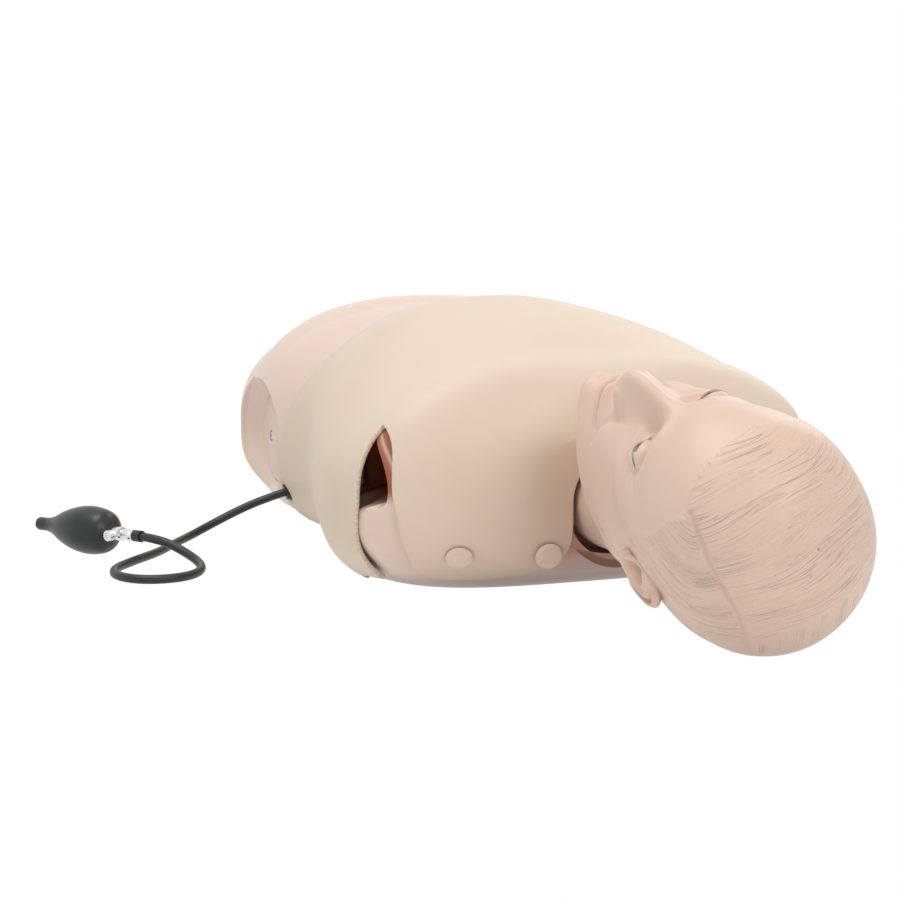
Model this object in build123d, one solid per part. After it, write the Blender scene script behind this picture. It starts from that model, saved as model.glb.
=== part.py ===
from build123d import *
import os
from bisect import bisect
from math import atan2, copysign, cos, degrees, pi, radians, sin, tan

# Pneumothorax trainer: a supine head-and-torso manikin with a chest skin laid over its ribs and
# air pads, a squeeze bulb on a hose, and a head that turns on its neck. Millimetres.
# +X runs to the head, +Y to the manikin's right, +Z up from the table; X 0 lies under mid chest.

# Trunk sections from the crotch end to the neck: x, half width, underside, widest height, top,
# roundness above the widest height, roundness below it
trunk_sections = [
    (-404, 124, 50, 92, 148, 2.6, 2.4),
    (-390, 155, 26, 93, 180, 2.7, 2.6),
    (-356, 174, 6, 95, 207, 2.7, 2.8),
    (-312, 176, -2, 98, 225, 2.6, 3.0),
    (-260, 170, -4, 102, 232, 2.5, 3.2),
    (-200, 162, -4, 105, 227, 2.3, 3.3),
    (-140, 165, -4, 105, 227, 2.2, 3.5),
    (-70, 180, -4, 103, 233, 2.1, 3.7),
    (0, 197, -4, 102, 232, 1.95, 3.9),
    (50, 206, -4, 100, 226, 1.9, 3.9),
    (100, 207, 2, 98, 214, 1.9, 3.5),
    (130, 201, 11, 96, 197, 1.95, 3.1),
    (152, 183, 20, 93, 175, 2.0, 2.7),
    (170, 143, 28, 90, 155, 2.1, 2.4),
    (182, 84, 34, 88, 142, 2.0, 2.0),
]
ring_points = 24
shell_wall = 5.0

# Chest skin: a soft sheet over the chest that hangs to the flanks and straps over the shoulders
skin_gap = 0.3
skin_thickness = 4.0
skin_lower_edge = 9.0
neckline_radius = 51.0
hose_notch_radius = 9.5
# Lower hem seen from the side (x, z), from the flank's foot up to the front of the belly
hem_line = [(-254, -10), (-250, 9), (-241, 45), (-231, 93), (-221, 140), (-200, 177), (-172, 205),
            (-150, 222), (-141, 240), (-139, 260)]
# Back edge of the left armhole seen from the side (x, z), from its peak down to the skin's foot
armhole_line = [(119, 154), (113, 130), (108, 100), (102, 62), (103, 36), (113, 12), (124, -10)]
# Left strap's free edge seen from the head (y, z): down its outer side, round its foot, up to the neck
strap_line = [(-177, 154), (-187, 136), (-190, 113), (-187, 90), (-181, 67), (-170, 43), (-158, 31),
              (-142, 25), (-110, 23), (-82, 24), (-63, 30), (-53, 44), (-51, 62), (-51, 86)]

# Arm sockets: round dishes in the shoulders with a raised stop ring on their floor
arm_x = 97.0
arm_z = 97.0
arm_radius = 48.0
arm_depth = 50.0
arm_flare = 6.0
stop_ring_radius = 30.0
stop_ring_width = 6.0
stop_ring_height = 9.0

# Hip caps: domed discs screwed into round recesses of the pelvis
hip_x = -304.0
hip_z = 91.0
cap_radius = 47.0
cap_clearance = 0.6
cap_seat_y = 147.0
cap_edge = 4.0
cap_dome = 5.0
recess_straight = 5.0
recess_flare = 13.0
recess_depth = 34.0
hip_screw_head_radius = 4.5
hip_screw_head_height = 2.6
hip_screw_sink = 1.0
hip_screw_radius = 2.0
hip_screw_length = 15.0

# Neck: a dish in the shoulders, a flanged bush in its floor, and the post that the head turns on
axis_z = 84.0
neck_dish_radius = 48.0
neck_dish_depth = 26.0
neck_radius = 41.0
neck_lift = 9.0
post_radius = 24.0
post_running_gap = 0.06
post_in_head = 38.0
seat_clearance = 0.1
bush_wall = 5.0
bush_flange = 3.0
bush_flange_radius = 37.0
washer_radius = 34.0
retainer_radius = 35.0
retainer_thickness = 3.0
axial_play = 0.2
neck_bolt_length = 28.0
neck_bolt_radius = 4.0
neck_bolt_head_radius = 6.5
neck_bolt_head_height = 5.3

# Head, unturned with its face up: level above the ears, half breadth, back, widest, front,
# roundness in front and behind; heights are from the middle of the line between the ears
head_x = 350.0
head_rise = 18.0
head_rest_turn = 32.0
head_wall = 5.0
neck_end = trunk_sections[-1][0] - neck_dish_depth + neck_lift - head_x
head_sections = [
    (-132, 43, -61, -18, 27, 2.0, 2.0),
    (-117, 46, -64, -17, 33, 2.0, 2.0),
    (-105, 50, -67, -14, 50, 2.0, 2.1),
    (-97, 52, -69, -6, 78, 1.9, 2.1),
    (-88, 54, -72, 4, 97, 1.9, 2.2),
    (-76, 56, -76, 8, 102, 1.9, 2.3),
    (-62, 59, -80, 8, 98, 1.9, 2.3),
    (-48, 62, -84, 5, 102, 2.0, 2.3),
    (-25, 66, -90, 0, 100, 2.1, 2.3),
    (0, 70, -95, -5, 94, 2.2, 2.2),
    (20, 73, -98, -8, 91, 2.4, 2.2),
    (38, 75, -99, -8, 93, 2.4, 2.2),
    (62, 76, -97, -8, 87, 2.2, 2.2),
    (86, 70, -88, -8, 74, 2.1, 2.1),
    (106, 57, -72, -8, 56, 2.1, 2.1),
    (120, 40, -52, -7, 38, 2.0, 2.0),
    (129, 16, -24, -6, 13, 2.0, 2.0),
]
nose_sections = [
    (-28, 13, 70, 88, 108, 2.0, 2.0),
    (-20, 17, 70, 90, 121, 2.0, 2.0),
    (-12, 15, 70, 90, 121, 1.9, 2.0),
    (4, 9, 70, 85, 107, 1.8, 2.0),
    (20, 7, 70, 80, 94, 1.8, 2.0),
]
eye_level = 20.0
eye_half_spacing = 31.5
eye_depth = 73.0
eye_radius = 12.0
eye_gap = 0.15
ear_height = 62.0
ear_width = 34.0
ear_out = 77.0
ear_back = -9.0
ear_spread = 22.0

# Rib plate: a moulded rib cage front that drops into a rebated window of the shell
plate_x = (-104.0, 128.0)
plate_half_width = 128.0
plate_flange = 11.0
plate_flange_thickness = 2.4
plate_thickness = 7.0
plate_clearance = 0.5
sternum_half_width = 19.0
rib_pitch = 31.0
rib_gap = 13.0
rib_gap_count = 6
rib_slant = 24.0
rib_reach = 112.0
plate_screw_radius = 1.75
plate_screw_head_radius = 3.6
plate_screw_head_height = 1.1
plate_screw_sink = 0.2
plate_screw_length = 7.0

# Air pads under the four needle sites, and the tubes that feed them
pad_gap = 0.3
pad_thickness = 8.0
clavicular_pad = (88.0, 68.0, 40.0, 26.0)
axillary_pad = (-62.0, 118.0, 23.0)
axillary_pocket_clearance = 0.6
tube_radius = 2.5
manifold_size = (34.0, 46.0, 16.0)
manifold_x = -190.0

# Straps' retaining buttons: mushroom studs through the skin into the shell
button_radius = 11.0
button_height = 3.4
button_stem_radius = 4.0
button_length = 13.0
button_hole_clearance = 0.3
button_places = [(-133.0, 45.0), (-64.0, 44.0)]

# Hose, valve and bulb on the table at the manikin's left
hose_radius = 4.0
hose_route = [
    (-236.7, -163.0, 41.8), (-239.2, -183.0, 35.9), (-244.0, -207.0, 26.0), (-245.0, -235.0, 13.0),
    (-228.0, -262.0, 4.8), (-193.0, -286.0, 4.2), (-158.0, -307.0, 4.0), (-123.0, -336.0, 4.2),
    (-90.0, -361.0, 4.0), (-56.0, -366.0, 4.2), (-30.0, -347.0, 4.0), (-27.0, -315.0, 4.2),
    (-49.0, -292.0, 4.0), (-82.0, -284.0, 4.8), (-106.0, -293.0, 12.0), (-122.0, -312.5, 22.6),
    (-148.0, -330.5, 22.6),
]
connector_flange_radius = 7.8
connector_flange = 8.0
connector_radius = 6.2
connector_depth = 18.0
cuff_radius = 5.3
cuff_length = 9.0
cuff_gap = 0.05
valve_profile = [(4.3, 0.0), (4.3, 3.0), (5.6, 4.0), (5.6, 11.0), (4.5, 12.0), (4.5, 14.5),
                 (6.4, 15.5), (6.4, 24.0), (5.2, 25.0), (5.2, 26.0)]
boss_place = 19.5
boss_radius = 3.4
boss_reach = 8.6
knob_radius = 5.0
knob_height = 6.5
knob_flutes = 14
knob_flute_radius = 0.5
knob_recess_radius = 3.1
knob_recess_depth = 1.2
knob_gap = 0.25
knob_stem_radius = 1.6
knob_stem_length = 6.0
knob_stem_gap = 0.05
bulb_line = [(7.0, 0.0), (14.5, 4.5), (20.6, 14.0), (22.5, 29.0), (20.2, 47.0), (14.0, 65.0), (8.6, 77.0)]
bulb_radius = 22.5
bulb_neck_radius = 6.2
bulb_neck = (86.0, 98.5)
bulb_rim = 1.5
intake_radius = 3.2
intake_length = 10.0
intake_proud = 0.8

BIG = 1000.0


def ring(x, half, bottom, side, top, n_top, n_bottom):
    """Even steps round a section: two half superellipses that meet at the widest height."""
    trace = []
    for i in range(721):
        a = pi * i / 360 - pi / 2
        c, s = cos(a), sin(a)
        n = n_top if s >= 0 else n_bottom
        rise = top - side if s >= 0 else side - bottom
        y = copysign(abs(c) ** (2 / n), c) * half
        trace.append(Vector(x, y, side + copysign(abs(s) ** (2 / n), s) * rise))
    run = [0.0]
    for before, after in zip(trace, trace[1:]):
        run.append(run[-1] + (after - before).length)
    return [trace[bisect(run, run[-1] * i / ring_points) - 1] for i in range(ring_points)]


def moved_out(points, along, out):
    """A ring moved along X, and outward in its own plane."""
    moved = []
    for i, point in enumerate(points):
        step = (points[(i + 1) % ring_points] - points[i - 1]).normalized()
        moved.append(point + Vector(along, step.Z * out, -step.Y * out))
    return moved


def form(sections, grow=0.0):
    """A smooth solid through the sections, moved out along its surface by grow, or in if negative."""
    size = [(half + (top - bottom) / 2) / 2 for x, half, bottom, side, top, n, m in sections]
    steps = [i / ring_points for i in range(ring_points + 1)]
    wires = []
    for i, section in enumerate(sections):
        low, high = max(i - 1, 0), min(i + 1, len(sections) - 1)
        lean = atan2(size[low] - size[high], sections[high][0] - sections[low][0])
        points = moved_out(ring(*section), grow * sin(lean), grow * cos(lean))
        wires.append(Wire([Edge.make_spline(points, periodic=True, parameters=steps)]))
    return Solid.make_loft(wires)


def box(x, y, z):
    """A block between two limits on each axis."""
    size = [high - low for low, high in (x, y, z)]
    middle = [(high + low) / 2 for low, high in (x, y, z)]
    return Pos(*middle) * Box(*size)


def rod(start, direction, radius, length):
    """A cylinder from a start point along a direction."""
    plane = Plane(origin=start, z_dir=Vector(*direction))
    return plane * Cylinder(radius, length, align=(Align.CENTER, Align.CENTER, Align.MIN))


def spun(start, direction, profile):
    """A profile of (radius, height) corners, closed on its axis and turned about it."""
    corners = [(0, profile[0][1]), *profile, (0, profile[-1][1])]
    face = Plane.XZ * make_face(Polyline(*corners, close=True))
    turned = revolve(face, Axis.Z)
    return Plane(origin=start, z_dir=Vector(*direction)) * turned


def trunk(grow=0.0, floor=0.0):
    """The trunk's form, cut flat where its back lies on the table."""
    return form(trunk_sections, grow) - box((-BIG, BIG), (-BIG, BIG), (-BIG, floor))


def mirrored(shape):
    return mirror(shape, Plane.XZ)


def both(shape):
    """A left piece with its copy on the right."""
    return [shape, mirrored(shape)]


def section_at(x, column):
    """A section's value at x, between the two stations beside it."""
    for low, high in zip(trunk_sections, trunk_sections[1:]):
        if low[0] <= x <= high[0]:
            share = (x - low[0]) / (high[0] - low[0])
            return low[column] + share * (high[column] - low[column])


def arm_floor():
    """How far from the middle plane the arm socket's floor lies."""
    return section_at(arm_x, 1) - arm_depth


def arm_dish(grow=0.0):
    """The left arm socket's hollow, or with a growth the lining round it."""
    profile = [(arm_radius - 10 + grow, -grow), (arm_radius - 3 + grow, 8 - grow),
               (arm_radius + grow, 20 - grow), (arm_radius + arm_flare + grow, arm_depth + 20)]
    return spun((arm_x, -arm_floor(), arm_z), (0, -1, 0), profile)


def arm_stop_ring():
    """The ring moulded on the socket's floor, open at its foot."""
    start = (arm_x, 1 - arm_floor(), arm_z)
    outer = rod(start, (0, -1, 0), stop_ring_radius, stop_ring_height + 1)
    inner = rod(start, (0, -1, 0), stop_ring_radius - stop_ring_width, BIG)
    foot = arm_z - stop_ring_radius * 0.55
    return outer - inner - box((-BIG, BIG), (-BIG, 0), (0, foot))


def hip_recess(grow=0.0):
    """The left hip cap's flared recess, or with a growth the wall behind and round it."""
    radius = cap_radius + cap_clearance + grow
    profile = [(radius, -grow), (radius, recess_straight), (radius + recess_flare, recess_depth),
               (radius + recess_flare, recess_depth + 20)]
    return spun((hip_x, -cap_seat_y, hip_z), (0, -1, 0), profile)


def neck_dish(grow=0.0):
    """The hollow that the neck stands in, widening to its rim."""
    floor = trunk_sections[-1][0] - neck_dish_depth
    profile = [(neck_dish_radius - 5 + grow, -grow), (neck_dish_radius - 1 + grow, 6 - grow),
               (neck_dish_radius + grow, neck_dish_depth + 12)]
    return spun((floor, 0, axis_z), (1, 0, 0), profile)


def axillary_column(radius, side=-1):
    """A round column through a flank at the side needle site."""
    x, z, pad_radius = axillary_pad
    return rod((x, side * 90, z), (0, side, 0), radius, 140)


def plate_window(margin):
    """The upright prism that cuts the rib plate or its window, with rounded corners."""
    length = plate_x[1] - plate_x[0] + 2 * margin
    outline = RectangleRounded(length, 2 * (plate_half_width + margin), 30 + margin)
    middle = (plate_x[0] + plate_x[1]) / 2
    return extrude(Plane((middle, 0, 100)) * outline, 200)


def rib_gaps():
    """The spaces between the ribs: slanting slots with round ends, cut right through the plate."""
    slots = []
    inner = sternum_half_width + rib_gap
    for i in range(rib_gap_count):
        x = plate_x[1] - 34 - i * rib_pitch
        run = rib_reach - inner if i else rib_reach - inner - 18
        slot = SlotOverall((run ** 2 + rib_slant ** 2) ** 0.5, rib_gap)
        turn = 90 + degrees(atan2(rib_slant, run))
        slot = Pos(x - rib_slant / 2, inner + run / 2, 100) * Rot(0, 0, turn) * slot
        slots += both(extrude(slot, 200))
    return slots


def crossing(solid, start, end):
    """The last point at which a line from start to end leaves a solid."""
    inside = Edge.make_line(start, end) & solid
    way = (Vector(*end) - Vector(*start)).normalized()
    points = [vertex.center() for edge in inside.edges() for vertex in edge.vertices()]
    return max(points, key=lambda point: point.dot(way))


def top_seat(solid, x, y):
    """The point and outward direction of a solid's upper side at x, y."""
    a, b, c = (crossing(solid, (u, v, 60), (u, v, 400)) for u, v in ((x, y), (x + 3, y), (x, y + 3)))
    return a, (b - a).cross(c - a).normalized()


def head_seat(solid, y, z):
    """The point and outward direction of a solid's head-side face at y, z."""
    a, b, c = (crossing(solid, (60, u, v), (400, u, v)) for u, v in ((y, z), (y + 3, z), (y, z + 3)))
    return a, (b - a).cross(c - a).normalized()


def plate_screw_seats(outer):
    """The screws' seats on the plate's flange: along its head end, its foot end and its sides."""
    side = plate_half_width + plate_flange / 2 - 1
    middle = (plate_x[0] + plate_x[1]) / 2
    ends = [plate_x[0] - plate_flange / 2 + 0.5, plate_x[1] + plate_flange / 2 - 0.5]
    places = [(ends[0], -60), (ends[0], 60), (ends[1], -60), (ends[1], 60), (middle, -side), (middle, side)]
    return [top_seat(outer, x, y) for x, y in places]


def hose_start():
    """The hose's first point and the direction in which it leaves the flank."""
    start, after = Vector(*hose_route[0]), Vector(*hose_route[1])
    return start, (after - start).normalized()


def bulb_axis():
    """The level direction from the hose's end through the valve to the bulb's far end."""
    way = Vector(*hose_route[-1]) - Vector(*hose_route[-2])
    return Vector(way.X, way.Y, 0).normalized()


def make_torso_shell(outer, screw_seats, button_seats):
    """The hollow moulding: the trunk's form less its inside, with sockets, recesses and seats."""
    pocket_radius = axillary_pad[2] + axillary_pocket_clearance
    pocket_depth = 2 * pad_gap + pad_thickness
    rebate = plate_flange_thickness + plate_clearance
    hollow = trunk(-shell_wall, shell_wall)
    for lining in [*both(arm_dish(shell_wall)), *both(hip_recess(shell_wall)), neck_dish(shell_wall)]:
        hollow -= lining
    pocket_inside = trunk(-pocket_depth - shell_wall)
    for lining in both(axillary_column(pocket_radius + shell_wall)):
        hollow -= lining - pocket_inside
    hollow -= plate_window(plate_flange + shell_wall) - trunk(-rebate - shell_wall)
    shell = outer - hollow
    for socket in [*both(arm_dish()), *both(hip_recess()), neck_dish()]:
        shell -= socket
    pocket_floor = trunk(-pocket_depth)
    for pocket in both(axillary_column(pocket_radius)):
        shell -= pocket - pocket_floor
    shell -= plate_window(0)
    shell -= plate_window(plate_flange) - trunk(-rebate)
    for stop in both(arm_stop_ring()):
        shell += stop
    start, way = hose_start()
    shell -= rod(start, -way, connector_radius + seat_clearance, connector_depth + 20)
    bush_hole = post_radius + post_running_gap + bush_wall + seat_clearance
    shell -= rod((trunk_sections[-1][0] - neck_dish_depth - 20, 0, axis_z), (1, 0, 0), bush_hole, 30)
    for point, normal in screw_seats:
        shell -= rod(point + normal * 3, -normal, plate_screw_radius, plate_screw_length + 3.5)
    for point, normal in button_seats:
        shell -= rod(point + normal * 3, -normal, button_stem_radius + seat_clearance, button_length)
    for screw in both(rod((hip_x, 0, hip_z), (0, -1, 0), hip_screw_radius, cap_seat_y + 1)):
        shell -= screw - box((-BIG, BIG), (hip_screw_length - cap_seat_y - 8, cap_seat_y + 8 - hip_screw_length),
                             (-BIG, BIG))
    return shell


def make_rib_plate(screw_seats):
    """The rib cage front: a curved plate with a flange, its ribs left standing between slots."""
    under = trunk(-plate_thickness)
    flange_under = trunk(-plate_flange_thickness - plate_clearance / 2)
    top = trunk(-seat_clearance)
    plate = (top & plate_window(-plate_clearance)) - under
    plate += (top & plate_window(plate_flange - plate_clearance)) - flange_under
    for slot in rib_gaps():
        plate -= slot
    for point, normal in screw_seats:
        plate -= rod(point, -normal, plate_screw_radius, 10)
        sunk = plate_screw_sink + plate_screw_head_height
        plate -= rod(point + normal * 3, -normal, plate_screw_head_radius + 0.2, 3 + sunk)
    return plate


def make_plate_screws(screw_seats):
    screws = []
    for point, normal in screw_seats:
        top = point - normal * plate_screw_sink
        head = rod(top, -normal, plate_screw_head_radius, plate_screw_head_height)
        screws.append(head + rod(top, -normal, plate_screw_radius, plate_screw_length))
    return Compound(children=screws)


def plane_face(plane, line, corners):
    """A face on a plane between a smooth line and the corners that close it."""
    edges = [Spline(*line), Polyline(line[-1], *corners, line[0])]
    return plane * make_face(edges)


def armhole_cut():
    """What the left armhole takes from the skin: past its back edge and outside the strap."""
    side = plane_face(Plane.XZ, armhole_line, [(300, armhole_line[-1][1]), (300, armhole_line[0][1])])
    side = extrude(side, 300, both=True)
    foot = armhole_line[-1][1]
    corners = [(0, strap_line[-1][1]), (0, foot), (-300, foot), (-300, strap_line[0][1])]
    front = plane_face(Plane.YZ, strap_line, corners)
    return extrude(front, 300) & side


def hem_cut():
    """Everything on the leg side of the skin's hem."""
    face = plane_face(Plane.XZ, hem_line, [(-600, hem_line[-1][1]), (-600, hem_line[0][1])])
    return extrude(face, 300, both=True)


def make_chest_skin(button_seats):
    """The soft sheet: a layer over the trunk, cut to its hem, armholes, straps and neckline."""
    skin = trunk(skin_gap + skin_thickness, skin_lower_edge) - trunk(skin_gap)
    skin -= hem_cut()
    for cut in both(armhole_cut()):
        skin -= cut
    skin -= rod((150, 0, axis_z), (1, 0, 0), neckline_radius, 100)
    start, way = hose_start()
    skin -= rod(start - way * 20, way, hose_notch_radius, 40)
    for point, normal in button_seats:
        skin -= rod(point - normal * 20, normal, button_stem_radius + button_hole_clearance, 40)
    return skin


def make_pad_clavicular(side):
    """A flat air pad under the ribs at the collarbone needle site."""
    x, y, radius_x, radius_y = clavicular_pad
    column = extrude(Plane((x, side * y, 120)) * Ellipse(radius_x, radius_y), 200)
    depth = plate_thickness + pad_gap
    return (trunk(-depth) & column) - trunk(-depth - pad_thickness)


def make_pad_axillary(side):
    """A round air pad in its pocket in the flank."""
    return (trunk(-pad_gap) & axillary_column(axillary_pad[2], side)) - trunk(-pad_gap - pad_thickness)


def make_buttons(button_seats):
    """Mushroom studs: a low dome on the skin and a stem through it into the shell."""
    studs = []
    for point, normal in button_seats:
        seat = point + normal * (skin_gap + skin_thickness + seat_clearance)
        profile = [(button_radius, 0), (button_radius * 0.97, button_height * 0.3),
                   (button_radius * 0.8, button_height * 0.68), (button_radius * 0.5, button_height * 0.92),
                   (button_radius * 0.2, button_height)]
        studs.append(spun(seat, normal, profile) + rod(seat, -normal, button_stem_radius, button_length - 1))
    return Compound(children=studs)


def make_hip_cap():
    """The left cap: a domed disc with a sink for its screw."""
    arc = ThreePointArc((cap_radius, cap_edge), (cap_radius * 0.55, cap_edge + cap_dome * 0.72),
                        (0, cap_edge + cap_dome))
    outline = Polyline((0, cap_edge + cap_dome), (0, 0), (cap_radius, 0), (cap_radius, cap_edge))
    cap = revolve(Plane.XZ * make_face([arc, outline]), Axis.Z)
    cap = Plane(origin=(hip_x, -cap_seat_y, hip_z), z_dir=(0, -1, 0)) * cap
    top = cap_seat_y + cap_edge + cap_dome
    cap -= rod((hip_x, -top - 1, hip_z), (0, 1, 0), hip_screw_head_radius + 0.6, 1 + hip_screw_sink)
    return cap - rod((hip_x, -top - 1, hip_z), (0, 1, 0), hip_screw_radius + seat_clearance, 40)


def make_hip_screw():
    """A pan-head screw with a cross recess through the left cap."""
    seat = -(cap_seat_y + cap_edge + cap_dome - hip_screw_sink)
    profile = [(hip_screw_head_radius, 0), (hip_screw_head_radius, hip_screw_head_height * 0.55),
               (hip_screw_head_radius * 0.72, hip_screw_head_height)]
    screw = spun((hip_x, seat, hip_z), (0, -1, 0), profile)
    screw += rod((hip_x, seat, hip_z), (0, 1, 0), hip_screw_radius, hip_screw_length)
    deep = (seat - hip_screw_head_height - 1, seat - hip_screw_head_height * 0.4)
    screw -= box((hip_x - 2.6, hip_x + 2.6), deep, (hip_z - 0.6, hip_z + 0.6))
    return screw - box((hip_x - 0.6, hip_x + 0.6), deep, (hip_z - 2.6, hip_z + 2.6))


def make_neck_pieces():
    """The bush, its thrust washer, the post, the retaining plate and its bolt, along the neck's axis."""
    floor = trunk_sections[-1][0] - neck_dish_depth
    back = floor - shell_wall - 2
    bore = post_radius + post_running_gap

    def disc(low, high, radius):
        return rod((low, 0, axis_z), (1, 0, 0), radius, high - low)

    bush = disc(back, floor, bore + bush_wall) + disc(floor, floor + bush_flange, bush_flange_radius)
    bush -= disc(back - 1, floor + bush_flange + 1, bore)
    face = floor + bush_flange
    washer = disc(face, floor + neck_lift - axial_play, washer_radius)
    washer -= disc(face - 1, floor + neck_lift + 1, post_radius + 0.5)
    foot = back - axial_play
    post = disc(foot, floor + neck_lift + post_in_head, post_radius)
    post -= disc(foot - 1, foot + neck_bolt_length, neck_bolt_radius)
    retainer = disc(foot - retainer_thickness, foot, retainer_radius)
    retainer -= disc(foot - retainer_thickness - 1, foot + 1, neck_bolt_radius + 0.2)
    seat = foot - retainer_thickness
    hexagon = extrude(Plane(origin=(seat, 0, axis_z), z_dir=(-1, 0, 0))
                      * RegularPolygon(neck_bolt_head_radius, 6), neck_bolt_head_height)
    bolt = hexagon + disc(seat, foot + neck_bolt_length - 1, neck_bolt_radius - 0.05)
    return bush, washer, post, retainer, bolt


def placed_head(shape):
    """A head piece moved from the ears' frame to its place, turned as it rests."""
    turned = Pos(head_x, 0, axis_z + head_rise) * shape
    return turned.rotate(Axis((0, 0, axis_z), (1, 0, 0)), head_rest_turn)


def make_ear():
    """The left ear: an oval leaf standing off the head, hollowed at its bowl."""
    leaf = scale(Sphere(1), by=(ear_height / 2, 6.5, ear_width / 2))
    leaf -= Pos(-3, -7, 2) * scale(Sphere(1), by=(ear_height * 0.26, 8, ear_width * 0.27))
    return Pos(2, -ear_out, ear_back) * Rot(0, 12, 0) * Rot(-ear_spread, 0, 0) * leaf


def make_head_shell():
    """The hollow head: skull and jaw form with nose and ears, eye sockets and the post's bore."""
    head = form(head_sections) + form(nose_sections)
    head += rod((neck_end, 0, -head_rise), (1, 0, 0), neck_radius, head_sections[1][0] - neck_end)
    for ear in both(make_ear()):
        head += ear
    hollow_start = neck_end + post_in_head + head_wall
    head -= form(head_sections, -head_wall) - box((-BIG, hollow_start), (-BIG, BIG), (-BIG, BIG))
    for side in (-1, 1):
        head -= Pos(eye_level, side * eye_half_spacing, eye_depth) * Sphere(eye_radius + eye_gap)
    bore = rod((neck_end - 1, 0, -head_rise), (1, 0, 0), post_radius + seat_clearance / 2, post_in_head + 1)
    return head - bore


def make_eye(side):
    return Pos(eye_level, side * eye_half_spacing, eye_depth) * Sphere(eye_radius)


def hose_path(route, limp=0.45):
    """Straight runs joined by tangent arcs, each as large as its two runs allow."""
    points = [Vector(*point) for point in route]
    radii = []
    for before, corner, after in zip(points, points[1:], points[2:]):
        first, second = corner - before, after - corner
        turn = radians(first.get_angle(second))
        radii.append(limp * min(first.length, second.length) / tan(turn / 2))
    return FilletPolyline(*points, radius=radii), radii


def tube(route, radius):
    path, radii = hose_path(route)
    section = Plane(origin=path @ 0, z_dir=path % 0) * Circle(radius)
    solid = sweep(section, path)
    fill = solid.volume / (pi * radius ** 2 * path.length)
    print(f"tube length {path.length:.1f}, least radius {min(radii):.1f}, fill {fill:.4f}")
    return solid


def make_hose_connector(outer):
    """The hose's flanged connector: a flange moulded to the flank and a barrel through the wall."""
    start, way = hose_start()
    flange = rod(start, -way, connector_flange_radius, connector_flange)
    return (flange - trunk(0.15)) + rod(start, -way, connector_radius, connector_depth)


def make_hose_cuff():
    """The ferrule round the hose's last straight stretch, up to the valve."""
    end, before = Vector(*hose_route[-1]), Vector(*hose_route[-2])
    way = (before - end).normalized()
    return rod(end, way, cuff_radius, cuff_length) - rod(end - way, way, hose_radius + cuff_gap, cuff_length + 2)


def knob_axis():
    way = bulb_axis()
    return Vector(-way.Y, way.X, 0)


def make_valve_body():
    """The turned valve between hose and bulb, with the side boss that carries the knob."""
    start, way, side = Vector(*hose_route[-1]), bulb_axis(), knob_axis()
    valve = spun(start, way, valve_profile)
    valve += rod(start + way * boss_place, side, boss_radius, boss_reach)
    stem_start = start + way * boss_place + side * (boss_reach - knob_stem_length - 0.4)
    return valve - rod(stem_start, side, knob_stem_radius + knob_stem_gap, 20)


def make_valve_knob():
    """The fluted thumb knob with its stem in the boss."""
    start, way, side = Vector(*hose_route[-1]), bulb_axis(), knob_axis()
    seat = start + way * boss_place + side * (boss_reach + knob_gap)
    knob = Cylinder(knob_radius, knob_height, align=(Align.CENTER, Align.CENTER, Align.MIN))
    for place in PolarLocations(knob_radius, knob_flutes):
        knob -= place * Cylinder(knob_flute_radius, 3 * knob_height)
    knob -= Pos(0, 0, knob_height) * Cylinder(knob_recess_radius, 2 * knob_recess_depth)
    stem_length = knob_stem_length + knob_gap
    knob += Pos(0, 0, -stem_length) * Cylinder(knob_stem_radius, stem_length + 1,
                                               align=(Align.CENTER, Align.CENTER, Align.MIN))
    return Plane(origin=seat, z_dir=side) * knob


def bulb_start():
    return Vector(*hose_route[-1]) + bulb_axis() * valve_profile[-1][1]


def make_bulb():
    """The blown rubber bulb: a pear on its side with a short intake neck, resting on the table."""
    neck_start, end = bulb_neck
    curve = Spline(*bulb_line, (bulb_neck_radius, neck_start), tangents=((1, 0.35), (0, 1)))
    close = Polyline((bulb_neck_radius, neck_start), (bulb_neck_radius, end - bulb_rim),
                     (bulb_neck_radius - bulb_rim, end), (0, end), (0, 0), bulb_line[0])
    bulb = revolve(Plane.XZ * make_face([curve, close]), Axis.Z)
    bulb = Plane(origin=bulb_start(), z_dir=bulb_axis()) * bulb
    mouth = bulb_start() + bulb_axis() * (end + intake_proud)
    return bulb - rod(mouth, -bulb_axis(), intake_radius + 0.05, intake_length + 0.05)


def make_intake_valve():
    mouth = bulb_start() + bulb_axis() * (bulb_neck[1] + intake_proud)
    return rod(mouth, -bulb_axis(), intake_radius, intake_length)


def make_air_manifold():
    """The block that splits the supply to the four pads, on the shell's floor."""
    length, width, height = manifold_size
    return box((manifold_x - length / 2, manifold_x + length / 2), (-width / 2, width / 2),
               (shell_wall, shell_wall + height))


def pad_tubes():
    """The left pads' tubes and the supply tube, inside the trunk."""
    length, width, height = manifold_size
    face = manifold_x + length / 2
    z = shell_wall + height / 2
    x, y, radius_x, radius_y = clavicular_pad
    under = crossing(trunk(-plate_thickness - pad_gap - pad_thickness), (x, -y, 60), (x, -y, 400))
    clavicular = [(face, -8, z), (face + 45, -8, z), (face + 115, -26, z + 18), (face + 175, -48, z + 60),
                  (x - 12, -y + 4, z + 115), (x, -y, under.Z + 1.5)]
    side_x, side_z, radius = axillary_pad
    inner = crossing(trunk(-pad_gap - pad_thickness), (side_x, 0, side_z), (side_x, -300, side_z))
    axillary = [(face, -18, z), (face + 30, -18, z), (face + 62, -64, z + 26), (face + 88, -106, z + 72),
                (side_x - 2, -136, side_z - 3), (side_x, inner.Y - 1.5, side_z)]
    start, way = hose_start()
    inside = start - way * connector_depth
    supply = [tuple(inside), tuple(inside - way * 26), (manifold_x - 16, -92, 30),
              (manifold_x, -width / 2 - 34, z), (manifold_x, -width / 2, z)]
    return clavicular, axillary, supply


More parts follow.
